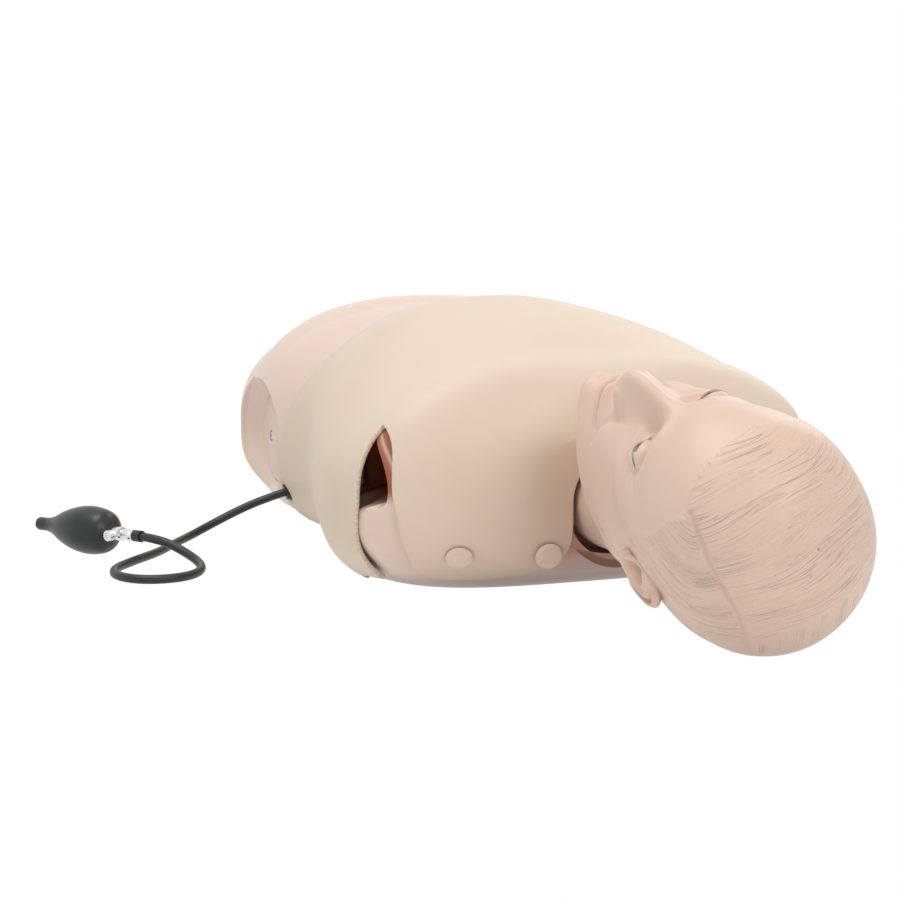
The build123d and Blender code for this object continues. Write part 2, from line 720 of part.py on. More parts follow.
def make_parts():
    outer = trunk()
    screw_seats = plate_screw_seats(outer)
    left_buttons = [head_seat(outer, y, z) for y, z in button_places]
    right_buttons = [head_seat(outer, -y, z) for y, z in button_places]
    bush, washer, post, retainer, bolt = make_neck_pieces()
    clavicular_tube, axillary_tube, supply_tube = pad_tubes()
    head_turned = [(name, placed_head(shape)) for name, shape in (
        ("head_shell", make_head_shell()), ("eye_left", make_eye(-1)), ("eye_right", make_eye(1)))]
    shell = make_torso_shell(outer, screw_seats, left_buttons + right_buttons)
    for port in both(rod((*axillary_tube[-2][:2], axillary_tube[-2][2]),
                         Vector(*axillary_tube[-1]) - Vector(*axillary_tube[-2]), tube_radius + 0.3, 40)):
        shell -= port
    parts = {
        "torso_shell": shell,
        "chest_skin": make_chest_skin(left_buttons + right_buttons),
        "rib_plate": make_rib_plate(screw_seats),
        "rib_plate_screws": make_plate_screws(screw_seats),
        "strap_buttons_left": make_buttons(left_buttons),
        "strap_buttons_right": make_buttons(right_buttons),
        "air_manifold": make_air_manifold(),
        "supply_tube": tube(supply_tube, hose_radius),
        "hose_connector": make_hose_connector(outer),
        "hose": tube(hose_route, hose_radius),
        "hose_cuff": make_hose_cuff(),
        "valve_body": make_valve_body(),
        "valve_knob": make_valve_knob(),
        "bulb": make_bulb(),
        "intake_valve": make_intake_valve(),
        "neck_bush": bush,
        "neck_thrust_washer": washer,
        "neck_post": post,
        "neck_retainer": retainer,
        "neck_bolt": bolt,
    }
    for name, pad_maker, route in (("clavicular", make_pad_clavicular, clavicular_tube),
                                   ("axillary", make_pad_axillary, axillary_tube)):
        for side, side_name, lead in zip((-1, 1), ("left", "right"), both(tube(route, tube_radius))):
            parts[f"{name}_pad_{side_name}"] = pad = pad_maker(side)
            parts[f"{name}_tube_{side_name}"] = lead - pad
    for name, shape in (("hip_cap", make_hip_cap()), ("hip_screw", make_hip_screw())):
        parts[name + "_left"], parts[name + "_right"] = both(shape)
    parts.update(head_turned)
    return parts


os.makedirs("parts", exist_ok=True)
for node, solid in make_parts().items():
    solid.label = node
    export_step(solid, f"parts/{node}.step")
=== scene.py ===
"""Pneumothorax trainer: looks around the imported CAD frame.

Everything is built in millimetres with numpy and stored in metres. The trunk is a row of sections, each made of
two half superellipses that meet at the widest height: |y / half| ** n + |(z - side) / rise| ** n = 1. Natural
cubic splines carry each section value along X. The shell and the chest skin are the same form at two offsets.
A sheet with free edges is that form clipped where a signed distance is negative, thickened by joining its outer
and inner copies along every open edge. Sockets and recesses are polar patches whose depth is the smooth minimum
of the form and of the socket's own profile. The head is a second row of sections, with the face added as sums of
Gaussian bumps and grooves in height (u), breadth (v) and depth (w) from the middle of the line between the ears.
"""

import bpy
import numpy as np
from mathutils import Matrix, Vector


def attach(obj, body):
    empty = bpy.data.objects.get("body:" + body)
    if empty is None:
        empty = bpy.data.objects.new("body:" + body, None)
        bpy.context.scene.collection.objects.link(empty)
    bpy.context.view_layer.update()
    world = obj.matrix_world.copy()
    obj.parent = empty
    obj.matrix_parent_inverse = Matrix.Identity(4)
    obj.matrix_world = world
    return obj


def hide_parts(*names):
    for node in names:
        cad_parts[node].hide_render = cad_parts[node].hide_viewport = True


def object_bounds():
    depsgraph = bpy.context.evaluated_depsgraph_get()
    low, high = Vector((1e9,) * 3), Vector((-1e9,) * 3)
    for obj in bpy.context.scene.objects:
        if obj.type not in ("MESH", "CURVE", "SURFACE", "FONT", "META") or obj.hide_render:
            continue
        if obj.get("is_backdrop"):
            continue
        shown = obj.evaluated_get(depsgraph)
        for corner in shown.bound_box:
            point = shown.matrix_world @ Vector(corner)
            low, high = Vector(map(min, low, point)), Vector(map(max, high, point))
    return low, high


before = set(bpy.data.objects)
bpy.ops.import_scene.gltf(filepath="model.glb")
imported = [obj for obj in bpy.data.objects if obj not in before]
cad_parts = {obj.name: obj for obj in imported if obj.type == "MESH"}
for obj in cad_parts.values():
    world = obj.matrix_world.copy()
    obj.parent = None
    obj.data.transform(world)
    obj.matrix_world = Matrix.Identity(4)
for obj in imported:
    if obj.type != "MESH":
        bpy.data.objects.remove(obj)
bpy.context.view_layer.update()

# Table, light and camera: a white room with a broad lamp above, a smaller one behind the lens and a
# third at the far side, and a lens that stands where the photograph was taken.
scene = bpy.context.scene
scene.view_settings.view_transform = "Standard"


def shader(name, **values):
    """A material with one principled shader, its inputs set by name."""
    material = bpy.data.materials.new(name)
    material.use_nodes = True
    node = material.node_tree.nodes["Principled BSDF"]
    for key, value in values.items():
        node.inputs[key.replace("_", " ")].default_value = value
    return material


world = bpy.data.worlds.new("room")
scene.world = world
world.use_nodes = True
tree = world.node_tree
background = tree.nodes["Background"]
plain = tree.nodes.new("ShaderNodeBackground")
plain.inputs["Color"].default_value = (1, 1, 1, 1)
plain.inputs["Strength"].default_value = 1.0
background.inputs["Color"].default_value = (1.0, 0.985, 0.965, 1)
background.inputs["Strength"].default_value = 0.60


def seen_rays(node_tree):
    """1 for rays from the camera, off gloss or through glass, which see plain white; 0 for the object's light."""
    path = node_tree.nodes.new("ShaderNodeLightPath")
    value = path.outputs["Is Camera Ray"]
    for ray in ("Is Glossy Ray", "Is Transmission Ray"):
        most = node_tree.nodes.new("ShaderNodeMath")
        most.operation = "MAXIMUM"
        node_tree.links.new(value, most.inputs[0])
        node_tree.links.new(path.outputs[ray], most.inputs[1])
        value = most.outputs[0]
    return value


mix = tree.nodes.new("ShaderNodeMixShader")
tree.links.new(seen_rays(tree), mix.inputs["Fac"])
tree.links.new(background.outputs["Background"], mix.inputs[1])
tree.links.new(plain.outputs["Background"], mix.inputs[2])
tree.links.new(mix.outputs["Shader"], tree.nodes["World Output"].inputs["Surface"])

floor_mesh = bpy.data.meshes.new("floor")
floor_mesh.from_pydata([(-6, -6, 0), (6, -6, 0), (6, 6, 0), (-6, 6, 0)], [], [(0, 1, 2, 3)])
floor = bpy.data.objects.new("floor", floor_mesh)
scene.collection.objects.link(floor)
floor.location.z = -0.002
white = shader("white_table", Base_Color=(0.93, 0.93, 0.93, 1), Roughness=0.7, Specular_IOR_Level=0.1)
glow = white.node_tree.nodes.new("ShaderNodeEmission")
glow.inputs["Color"].default_value = (1, 1, 1, 1)
both_ways = white.node_tree.nodes.new("ShaderNodeMixShader")
link = white.node_tree.links.new
link(seen_rays(white.node_tree), both_ways.inputs["Fac"])
link(white.node_tree.nodes["Principled BSDF"].outputs["BSDF"], both_ways.inputs[1])
link(glow.outputs["Emission"], both_ways.inputs[2])
link(both_ways.outputs["Shader"], white.node_tree.nodes["Material Output"].inputs["Surface"])
floor_mesh.materials.append(white)
floor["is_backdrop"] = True

for name, place, target, size, power, tint in (
        ("key", (0.1, -0.75, 2.3), (0.05, -0.1, 0.1), 1.6, 25.5, (1.0, 0.98, 0.95)),
        ("head_side", (2.2, 0.3, 1.3), (0.3, 0, 0.1), 1.2, 12, (1.0, 0.98, 0.96)),
        ("far_rim", (-0.9, 1.7, 1.5), (0, 0, 0.1), 1.4, 8.5, (1.0, 1.0, 1.0))):
    lamp = bpy.data.lights.new(name, "AREA")
    lamp.shape, lamp.size, lamp.energy, lamp.color = "DISK", size, power, tint
    stand = bpy.data.objects.new(name, lamp)
    scene.collection.objects.link(stand)
    way = Vector(target) - Vector(place)
    stand.matrix_world = Matrix.Translation(place) @ way.to_track_quat("-Z", "Y").to_matrix().to_4x4()
    stand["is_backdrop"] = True

turn, rise, distance = np.radians(69.0), np.radians(7.0), 1306.0
aim, aim_pixel, middle_pixel, focal_pixels = np.array([350, -9.5, 99]), (714, 513), 450, 1800
back = np.array([np.sin(turn) * np.cos(rise), -np.cos(turn) * np.cos(rise), np.sin(rise)])
right = np.array([np.cos(turn), np.sin(turn), 0.0])
up = np.cross(back, right)
ray = (right * (aim_pixel[0] - middle_pixel) + up * (middle_pixel - aim_pixel[1])) / focal_pixels - back
place = (aim - ray / np.linalg.norm(ray) * distance) / 1000
lens = bpy.data.cameras.new("camera")
lens.lens, lens.sensor_width = 72.0, 36.0
camera = bpy.data.objects.new("camera", lens)
scene.collection.objects.link(camera)
camera.matrix_world = Matrix([[right[i], up[i], back[i], place[i]] for i in range(3)] + [[0, 0, 0, 1]])
scene.camera = camera


# Torso shell: the hollow moulding under the skin. It has round sockets at the shoulders, round
# recesses at the hips, a dish for the neck and a window over the ribs.
def spline(knots, values, at):
    """Natural cubic splines through the rows of values, one column each."""
    k, v = np.asarray(knots, float), np.asarray(values, float)
    h = np.diff(k)
    a = np.eye(len(k))
    b = np.zeros_like(v)
    for i in range(1, len(k) - 1):
        a[i, i - 1:i + 2] = h[i - 1], 2 * (h[i - 1] + h[i]), h[i]
        b[i] = 6 * ((v[i + 1] - v[i]) / h[i] - (v[i] - v[i - 1]) / h[i - 1])
    m = np.linalg.solve(a, b)
    at = np.asarray(at, float)
    i = np.clip(np.searchsorted(k, at) - 1, 0, len(k) - 2)
    step, p, q = h[i][:, None], (k[i + 1] - at)[:, None], (at - k[i])[:, None]
    return (m[i] * p ** 3 + m[i + 1] * q ** 3) / (6 * step) + \
        (v[i] / step - m[i] * step / 6) * p + (v[i + 1] / step - m[i + 1] * step / 6) * q


def around(sections, count, front=None):
    """Even steps round every section, from its lowest point; front crowds them towards the top."""
    t = np.linspace(0, 2 * np.pi, 1441) - np.pi / 2
    c, s = np.cos(t), np.sin(t)
    half, low, side, top, n_top, n_low = (sections[:, i, None] for i in range(6))
    n = np.where(s >= 0, n_top, n_low)
    reach = np.where(s >= 0, top - side, side - low)
    y = np.sign(c) * np.abs(c) ** (2 / n) * half
    z = side + np.sign(s) * np.abs(s) ** (2 / n) * reach
    step = np.hypot(np.diff(y), np.diff(z))
    if front is not None:
        step = step * (1 + front * np.clip(np.sin(t[1:]), 0, 1) ** 0.7)
    run = np.concatenate([np.zeros((len(y), 1)), np.cumsum(step, 1)], 1)
    ring = []
    for i in range(len(y)):
        at = np.linspace(0, run[i, -1], count + 1)[:-1]
        ring.append(np.stack([np.interp(at, run[i], y[i]), np.interp(at, run[i], z[i])], -1))
    return np.array(ring)


def normals(grid):
    """Outward unit normals of a grid of closed rings."""
    ring = np.roll(grid, -1, 1) - np.roll(grid, 1, 1)
    along = np.gradient(grid, axis=0)
    n = np.cross(ring, along)
    return n / np.maximum(np.linalg.norm(n, axis=-1, keepdims=True), 1e-9)


trunk_rows = np.array([
    (-404, 124, 50, 92, 148, 2.6, 2.4), (-390, 155, 26, 93, 180, 2.7, 2.6), (-356, 174, 6, 95, 207, 2.7, 2.8),
    (-312, 176, -2, 98, 225, 2.6, 3.0), (-260, 170, -4, 102, 232, 2.5, 3.2), (-200, 162, -4, 105, 227, 2.3, 3.3),
    (-140, 165, -4, 105, 227, 2.2, 3.5), (-70, 180, -4, 103, 232, 2.1, 3.7), (0, 197, -4, 102, 231.5, 1.95, 3.9),
    (50, 206, -4, 100, 226, 1.86, 3.9), (100, 207, 2, 98, 213.5, 1.88, 3.5), (130, 202, 12, 96, 195, 2.35, 3.1),
    (152, 184, 25, 93, 180.5, 2.75, 2.7), (170, 143, 35, 90, 154, 2.2, 2.4), (182, 84, 41, 88, 142, 2.0, 2.0)])


def bump(x, y, z, at, size, height):
    """A Gaussian hill on both sides of the middle plane."""
    r = ((x - at[0]) / size[0]) ** 2 + ((np.abs(y) - at[1]) / size[1]) ** 2 + ((z - at[2]) / size[2]) ** 2
    return height * np.exp(-r)


def trunk_relief(p):
    """Soft anatomy on the trunk, in millimetres outward."""
    x, y, z = p[..., 0], p[..., 1], p[..., 2]
    r = bump(x, y, z, (-85, 0, 235), (42, 120, 60), 4.5) + bump(x, y, z, (45, 0, 235), (60, 16, 40), -2.0)
    r += bump(x, y, z, (150, 76, 150), (18, 30, 26), -6.0) + bump(x, y, z, (132, 95, 178), (14, 60, 20), 3.0)
    r += bump(x, y, z, (-140, 60, 228), (40, 50, 40), 3.0) + bump(x, y, z, (-168, 118, 190), (34, 34, 40), -3.0)
    fold = (x + 232) + 0.002475 * np.maximum(np.abs(y) - 20, 0) ** 2
    front = np.clip((z - 150) / 40, 0, 1) * np.clip((175 - np.abs(y)) / 60, 0, 1)
    r += -2.6 * np.exp(-(fold / 9) ** 2) * front + 2.0 * np.exp(-((fold + 34) / 26) ** 2) * front
    return r


def trunk_grid(xs, count, out):
    """The trunk's surface moved out by out, as a grid of rings."""
    sections = spline(trunk_rows[:, 0], trunk_rows[:, 1:], xs)
    flat = around(sections, count)
    grid = np.concatenate([np.broadcast_to(np.asarray(xs)[:, None, None], flat.shape[:2] + (1,)), flat], -1)
    n = normals(grid)
    return grid + n * (out + trunk_relief(grid))[..., None]


def flank(x, z):
    """How far the shell's side stands off the middle plane at x, z."""
    half, low, side, top, n_top, n_low = spline(trunk_rows[:, 0], trunk_rows[:, 1:], x.ravel()).T
    z = z.ravel()
    n = np.where(z >= side, n_top, n_low)
    share = np.clip(np.abs(z - side) / np.where(z >= side, top - side, side - low), 0, 0.999)
    y = half * (1 - share ** n) ** (1 / n)
    p = np.stack([x.ravel(), y, z], -1)
    return (y + trunk_relief(p)).reshape(x.shape)


def soft_min(a, b, k):
    """The smaller of a and b, blended where they are within k."""
    h = np.clip(0.5 + 0.5 * (b - a) / k, 0, 1)
    return b * (1 - h) + a * h - k * h * (1 - h)


def faces_of(rows, count, closed=True):
    """Quads, each as two triangles, of a grid of rows by count points."""
    i, j = np.meshgrid(np.arange(rows - 1), np.arange(count if closed else count - 1), indexing="ij")
    a, b = i * count + j, i * count + (j + 1) % count
    c, d = b + count, a + count
    return np.concatenate([np.stack([a, b, c], -1).reshape(-1, 3), np.stack([a, c, d], -1).reshape(-1, 3)])


def clip(points, faces, field):
    """The part of a triangle mesh where field is positive, cut exactly where it is zero."""
    inside = field > 0
    count = inside[faces].sum(1)
    extra = []

    def cut(low, high):
        """Numbers of the new points on the edges from low to high, one point for each edge."""
        a, b = np.minimum(low, high), np.maximum(low, high)
        key = a.astype(np.int64) * len(points) + b
        unique, back_to = np.unique(key, return_inverse=True)
        ua, ub = unique // len(points), unique % len(points)
        share = (field[ua] / (field[ua] - field[ub]))[:, None]
        start = len(points) + sum(len(e) for e in extra)
        extra.append(points[ua] * (1 - share) + points[ub] * share)
        return start + back_to

    kept = [faces[count == 3]]
    for wanted in (1, 2):
        f = faces[count == wanted]
        odd = inside[f] if wanted == 1 else ~inside[f]
        shift = np.argmax(odd, 1)
        f = np.stack([f[np.arange(len(f)), (shift + k) % 3] for k in range(3)], -1)
        if not len(f):
            continue
        both_cuts = cut(np.concatenate([f[:, 0], f[:, 0]]), np.concatenate([f[:, 1], f[:, 2]]))
        ab, ac = both_cuts[:len(f)], both_cuts[len(f):]
        if wanted == 1:
            kept.append(np.stack([f[:, 0], ab, ac], -1))
        else:
            kept += [np.stack([ab, f[:, 1], f[:, 2]], -1), np.stack([ab, f[:, 2], ac], -1)]
    points, faces = np.concatenate([points] + extra), np.concatenate(kept)
    used, faces = np.unique(faces, return_inverse=True)
    return points[used], faces.reshape(-1, 3)


def piece(name, points, faces, material, body, angle=None):
    """A mesh object from points in millimetres and triangles or quads, riding on a CAD body."""
    mesh = bpy.data.meshes.new(name)
    mesh.vertices.add(len(points))
    mesh.vertices.foreach_set("co", (np.asarray(points, float) / 1000).ravel())
    faces = np.asarray(faces)
    sides = faces.shape[1]
    mesh.loops.add(faces.size)
    mesh.loops.foreach_set("vertex_index", faces.ravel())
    mesh.polygons.add(len(faces))
    mesh.polygons.foreach_set("loop_start", np.arange(len(faces)) * sides)
    mesh.update(calc_edges=True)
    mesh.polygons.foreach_set("use_smooth", np.full(len(faces), True))
    if angle is not None:
        mesh.set_sharp_from_angle(angle=np.radians(angle))
    mesh.materials.append(material)
    obj = bpy.data.objects.new(name, mesh)
    scene.collection.objects.link(obj)
    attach(obj, body)
    return obj


def attribute(obj, name, values):
    """A named number, or vector, at each point, for the shader to read."""
    values = np.asarray(values, float)
    layer = obj.data.attributes.new(name, "FLOAT_VECTOR" if values.ndim == 2 else "FLOAT", "POINT")
    layer.data.foreach_set("vector" if values.ndim == 2 else "value", values.ravel())


soft = bpy.data.node_groups.new("moulded_vinyl", "ShaderNodeTree")
for name, kind, value in (("Colour", "NodeSocketColor", (0.8, 0.6, 0.5, 1)),
                          ("Warm", "NodeSocketColor", (0.7, 0.45, 0.35, 1)),
                          ("Sheen Spread", "NodeSocketFloat", 0.05), ("Gloss", "NodeSocketFloat", 0.45),
                          ("Grain", "NodeSocketFloat", 0.02)):
    soft.interface.new_socket(name, in_out="INPUT", socket_type=kind).default_value = value
soft.interface.new_socket("Normal", in_out="INPUT", socket_type="NodeSocketVector")
for name, kind in (("Colour", "NodeSocketColor"), ("Roughness", "NodeSocketFloat"), ("Normal", "NodeSocketVector")):
    soft.interface.new_socket(name, in_out="OUTPUT", socket_type=kind)
n = soft.nodes
give, take = n.new("NodeGroupInput"), n.new("NodeGroupOutput")
place_in = n.new("ShaderNodeTexCoord")
cloud, fine = n.new("ShaderNodeTexNoise"), n.new("ShaderNodeTexNoise")
cloud.inputs["Scale"].default_value, cloud.inputs["Detail"].default_value = 9, 2
fine.inputs["Scale"].default_value = 900
tint = n.new("ShaderNodeMix")
tint.data_type = "RGBA"
ramp = n.new("ShaderNodeMapRange")
ramp.inputs["From Min"].default_value, ramp.inputs["From Max"].default_value = 0.35, 0.75
ramp.inputs["To Max"].default_value = 0.5
spread = n.new("ShaderNodeMath")
spread.operation = "MULTIPLY_ADD"
grain = n.new("ShaderNodeBump")
grain.inputs["Distance"].default_value = 0.0003
wire = soft.links.new
for source, target in (
        (place_in.outputs["Object"], cloud.inputs["Vector"]), (place_in.outputs["Object"], fine.inputs["Vector"]),
        (cloud.outputs["Fac"], ramp.inputs["Value"]), (ramp.outputs["Result"], tint.inputs["Factor"]),
        (give.outputs["Colour"], tint.inputs["A"]), (give.outputs["Warm"], tint.inputs["B"]),
        (tint.outputs["Result"], take.inputs["Colour"]), (cloud.outputs["Fac"], spread.inputs[0]),
        (give.outputs["Sheen Spread"], spread.inputs[1]), (give.outputs["Gloss"], spread.inputs[2]),
        (spread.outputs[0], take.inputs["Roughness"]), (fine.outputs["Fac"], grain.inputs["Height"]),
        (give.outputs["Grain"], grain.inputs["Strength"]), (give.outputs["Normal"], grain.inputs["Normal"]),
        (grain.outputs["Normal"], take.inputs["Normal"])):
    wire(source, target)


def vinyl(name, colour, warm, roughness, grain_depth=0.02, depth=0.08):
    """A soft moulded material with its group node, which gives cloudy colour, uneven gloss and fine grain."""
    material = shader(name, Subsurface_Weight=depth, Subsurface_Radius=(1.0, 0.45, 0.25), Subsurface_Scale=0.006,
                      Specular_IOR_Level=0.35)
    group = material.node_tree.nodes.new("ShaderNodeGroup")
    group.node_tree = soft
    for key, value in (("Colour", (*colour, 1)), ("Warm", (*warm, 1)), ("Gloss", roughness - 0.03),
                       ("Sheen Spread", 0.06), ("Grain", grain_depth)):
        group.inputs[key].default_value = value
    surface = material.node_tree.nodes["Principled BSDF"]
    for output, key in (("Colour", "Base Color"), ("Roughness", "Roughness"), ("Normal", "Normal")):
        material.node_tree.links.new(group.outputs[output], surface.inputs[key])
    return material, group



def paint_shade(material, group, dark):
    """Painted shade: lets the attribute "deep" draw a vinyl's two colours towards the dark shade colour."""
    deep = material.node_tree.nodes.new("ShaderNodeAttribute")
    deep.attribute_name = "deep"
    for key in ("Colour", "Warm"):
        blend = material.node_tree.nodes.new("ShaderNodeMix")
        blend.data_type = "RGBA"
        blend.inputs["A"].default_value, blend.inputs["B"].default_value = group.inputs[key].default_value, dark
        material.node_tree.links.new(deep.outputs["Fac"], blend.inputs["Factor"])
        material.node_tree.links.new(blend.outputs["Result"], group.inputs[key])


shell_vinyl, group = vinyl("shell_vinyl", (0.745, 0.605, 0.53), (0.71, 0.525, 0.44), 0.36)
# Painted shade: the dark red-brown the shell's colour takes in the arm sockets, under the strap's foot and in the neck
# dish.
paint_shade(shell_vinyl, group, (0.36, 0.115, 0.06, 1))
foot_x, top_x, neck_z, count = -404, 182, 84, 272
xs = np.concatenate([foot_x + 30 * np.linspace(0, 1, 22) ** 1.6, np.arange(-371, 120, 3.6),
                     top_x - 61 * np.linspace(1, 0, 44) ** 1.5])
grid = trunk_grid(xs, count, 0.0)
points, faces = grid.reshape(-1, 3), faces_of(len(xs), count)
hip, arm, hip_patch, arm_patch = (-304.0, 91.0), (97.0, 97.0), 71.0, 65.0
for centre, radius in ((hip, hip_patch), (arm, arm_patch)):
    away = np.hypot(points[:, 0] - centre[0], points[:, 2] - centre[1]) - radius
    points, faces = clip(points, faces, away + np.where(np.abs(points[:, 1]) < 100, 500, 0))
middle, half_x, half_y, rounding = 12.0, 127.0, 139.0, 38.0
corner = (np.maximum(np.abs(points[:, 0] - middle) - half_x + rounding, 0),
          np.maximum(np.abs(points[:, 1]) - half_y + rounding, 0))
points, faces = clip(points, faces, np.hypot(*corner) - rounding + np.where(points[:, 2] < 120, 900, 0))
parts = [(points, faces)]
theta = np.linspace(0, 2 * np.pi, 193)[:-1]


def side_patch(centre, radii, depth, k):
    """Polar patches on both flanks: the smaller of the flank and a socket's depth at each radius."""
    x = centre[0] + radii[:, None] * np.cos(theta)
    z = centre[1] + radii[:, None] * np.sin(theta)
    y = soft_min(flank(x, z), depth(radii[:, None], theta[None]), k(theta)[None] + 0 * x)
    left = np.stack([x, -y, z], -1).reshape(-1, 3)
    tris = faces_of(len(radii), len(theta))
    parts.append((left, tris[:, ::-1]))
    parts.append((left * [1, -1, 1], tris))


def smooth_step(x):
    """0 below 0, 1 above 1, and three x squared less two x cubed between."""
    x = np.clip(x, 0, 1)
    return x * x * (3 - 2 * x)


def hip_depth(r, t):
    """A soft slope up from the cap's edge, and above the cap a deep crescent gap."""
    deep = np.interp(r, [0, 47.3, 54.5, 57, 63, 90], [146, 146, 147, 160, 215, 900])
    slope = np.interp(r, [0, 47.2, 47.5, 54, 60, 66, 70, 90], [147, 147, 151.5, 156, 163, 173, 205, 900])
    above = np.exp(-((t - 1.25) / 0.62) ** 4)
    return deep * above + slope * (1 - above)


def arm_depth(r, t):
    """The socket's stepped dish with its stop ring, which is open at the foot."""
    steep = np.interp(r, [0, 38, 42, 46, 50, 57, 60, 80], [157, 157, 160, 166, 180, 227, 300, 900])
    gentle = np.interp(r, [0, 8, 18, 26, 34, 50, 80], [160, 164, 178, 196, 222, 300, 900])
    foot = smooth_step((-np.sin(t) - 0.15) / 0.5)
    d = steep * (1 - foot) + gentle * foot
    ring = np.clip((r - 38.4) / 1.2, 0, 1) * np.clip((44.6 - r) / 1.2, 0, 1)
    open_foot = np.clip((np.sin(t) + 0.62) / 0.04, 0, 1)
    return d + 13 * ring * open_foot * (1 - foot)


hip_radii = np.concatenate([[0.01, 25, 44], np.linspace(47, 48, 8), np.linspace(48.6, hip_patch + 0.4, 32)])
side_patch(hip, hip_radii, hip_depth, lambda t: 5.0 + 20.0 * np.exp(-((t - 3.3) / 1.5) ** 4))
arm_radii = np.concatenate([[0.01, 12, 24, 32], np.linspace(38.3, 39.7, 6), [41.5], np.linspace(43.3, 44.7, 6),
                            np.linspace(45.2, arm_patch + 0.4, 42)])
side_patch(arm, arm_radii, arm_depth, lambda t: 7.0 + 6.0 * smooth_step(-np.sin(t)))
edge = grid[-1]
angle = np.arctan2(edge[:, 2] - neck_z, edge[:, 1])
rings = []
for r in np.concatenate([[0.01, 30, 42], np.linspace(43, 55, 26)]):
    dish = np.interp(r, [0, 43, 47, 48.5, 50, 60], [156, 156, 162, 190, 260, 900])
    x = float(soft_min(float(top_x), dish, 5.0))
    rings.append(np.stack([np.full(count, x), r * np.cos(angle), neck_z + r * np.sin(angle)], -1))
dish_rim = rings[-1]
for share in np.linspace(0.12, 1, 10):
    rings.append(dish_rim * (1 - share) + edge * share)
parts.append((np.concatenate(rings), faces_of(len(rings), count)[:, ::-1]))
foot_middle = 92
foot_rings = [grid[0] * [1, s, s] + [0, 0, foot_middle * (1 - s)]
              for s in np.concatenate([[0.0001], np.linspace(0.08, 1, 14)])]
parts.append((np.concatenate(foot_rings), faces_of(len(foot_rings), count)))
offsets = np.cumsum([0] + [len(p) for p, _ in parts])
shell_points = np.concatenate([p for p, _ in parts])
shell_faces = np.concatenate([f + o for (_, f), o in zip(parts, offsets)])
shell_points[:, 2] = np.maximum(shell_points[:, 2], 0.05)
sides = np.abs(shell_points[:, 1]) > 100
dent = bump(*shell_points.T, (96, 180, 34), (22, 60, 22), 6.0)
shell_points[:, 1] -= np.sign(shell_points[:, 1]) * sides * dent
shell = piece("torso_shell_form", shell_points, shell_faces, shell_vinyl, "torso")
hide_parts("torso_shell")
# Painted shade on the shell, kept in the attribute "deep": darkest inside the arm sockets but less along the socket's
# lit rim, a band along the underside beneath the strap's foot, and the neck dish.
from_arm = np.hypot(shell_points[:, 0] - arm[0], shell_points[:, 2] - arm[1])
x, y, z = shell_points.T
socket_shade = sides * smooth_step((68 - from_arm) / 5) * (1 - 0.6 * np.exp(-((from_arm - 57) / 1.2) ** 2))
dish_only = smooth_step((190 - np.abs(y)) / 16) * smooth_step((52 - from_arm) / 8)
socket_shade *= np.maximum(smooth_step((z - 84) / 14), dish_only)
under = 0.5 * smooth_step((26 - z) / 18) * smooth_step((x - 60) / 40)
neck_shade = 0.6 * smooth_step((x - 140) / 20) * smooth_step((95 - np.hypot(y, z - neck_z)) / 30)
attribute(shell, "deep", np.maximum(socket_shade, np.maximum(under, neck_shade)))


# Ribs, pads and tubes: what lies in the window under the skin, kept as the CAD has it, with the
# screws, the manifold and the hose's connector.
def finish_node(name, material):
    """Gives a shown CAD node its material."""
    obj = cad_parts[name]
    if not obj.material_slots:
        obj.data.materials.append(material)
    for slot in obj.material_slots:
        slot.material = material


bone, _ = vinyl("rib_moulding", (0.84, 0.78, 0.64), (0.80, 0.72, 0.56), 0.5)
tan_rubber, _ = vinyl("tan_rubber", (0.60, 0.44, 0.30), (0.55, 0.38, 0.25), 0.5)
milky = shader("milky_tubing", Base_Color=(0.75, 0.75, 0.70, 1), Roughness=0.3, Transmission_Weight=0.3)
grey = shader("grey_moulding", Base_Color=(0.12, 0.125, 0.135, 1), Roughness=0.5)
zinc = shader("zinc_plate", Base_Color=(0.62, 0.63, 0.62, 1), Metallic=1.0, Roughness=0.28)
black_plastic = shader("black_fitting", Base_Color=(0.012, 0.012, 0.012, 1), Roughness=0.4)
finish_node("rib_plate", bone)
finish_node("rib_plate_screws", zinc)
finish_node("air_manifold", grey)
finish_node("supply_tube", milky)
finish_node("hose_connector", black_plastic)
for side in ("left", "right"):
    for pad in ("clavicular", "axillary"):
        finish_node(f"{pad}_pad_{side}", tan_rubber)
        finish_node(f"{pad}_tube_{side}", milky)

# Chest skin: a soft cream sheet over the chest and flanks with a hem across the belly, open
# armholes, and a strap over each shoulder that ends in a rounded corner beside the neck.
skin_vinyl, group = vinyl("chest_skin_vinyl", (0.71, 0.595, 0.485), (0.675, 0.54, 0.425), 0.5, 0.03)
# Painted shade: the dark rose the skin's colour takes near the neckline.
paint_shade(skin_vinyl, group, (0.40, 0.19, 0.11, 1))
gap, thick = 0.3, 4.0
hem_line = [(-254, -10), (-250, 9), (-241, 45), (-229, 93), (-215, 115), (-198, 139), (-181, 157), (-168, 178),
            (-160, 195), (-152, 212), (-146, 226), (-141, 240), (-139, 260)]
armhole_line = [(139, 166), (136, 151), (132.5, 139), (130, 122.6), (128.2, 106.5), (126, 84), (121.5, 67),
                (115.5, 52), (109, 38), (104, 29), (97, 18), (90, -10)]
strap_line = [(-184, 160), (-184.5, 151), (-183.5, 144.5), (-182.5, 138), (-183.5, 114), (-183.5, 94), (-181, 77),
              (-177, 61), (-171, 48), (-158, 31), (-140, 24), (-110, 22.5), (-82, 24), (-60, 30), (-49, 44),
              (-46, 62), (-46, 86)]


def smooth_line(points, count):
    """A natural cubic spline through the points against their running length, at count even steps."""
    points = np.array(points, float)
    run = np.concatenate([[0], np.cumsum(np.hypot(*np.diff(points, axis=0).T))])
    return spline(run, points, np.linspace(0, run[-1], count))


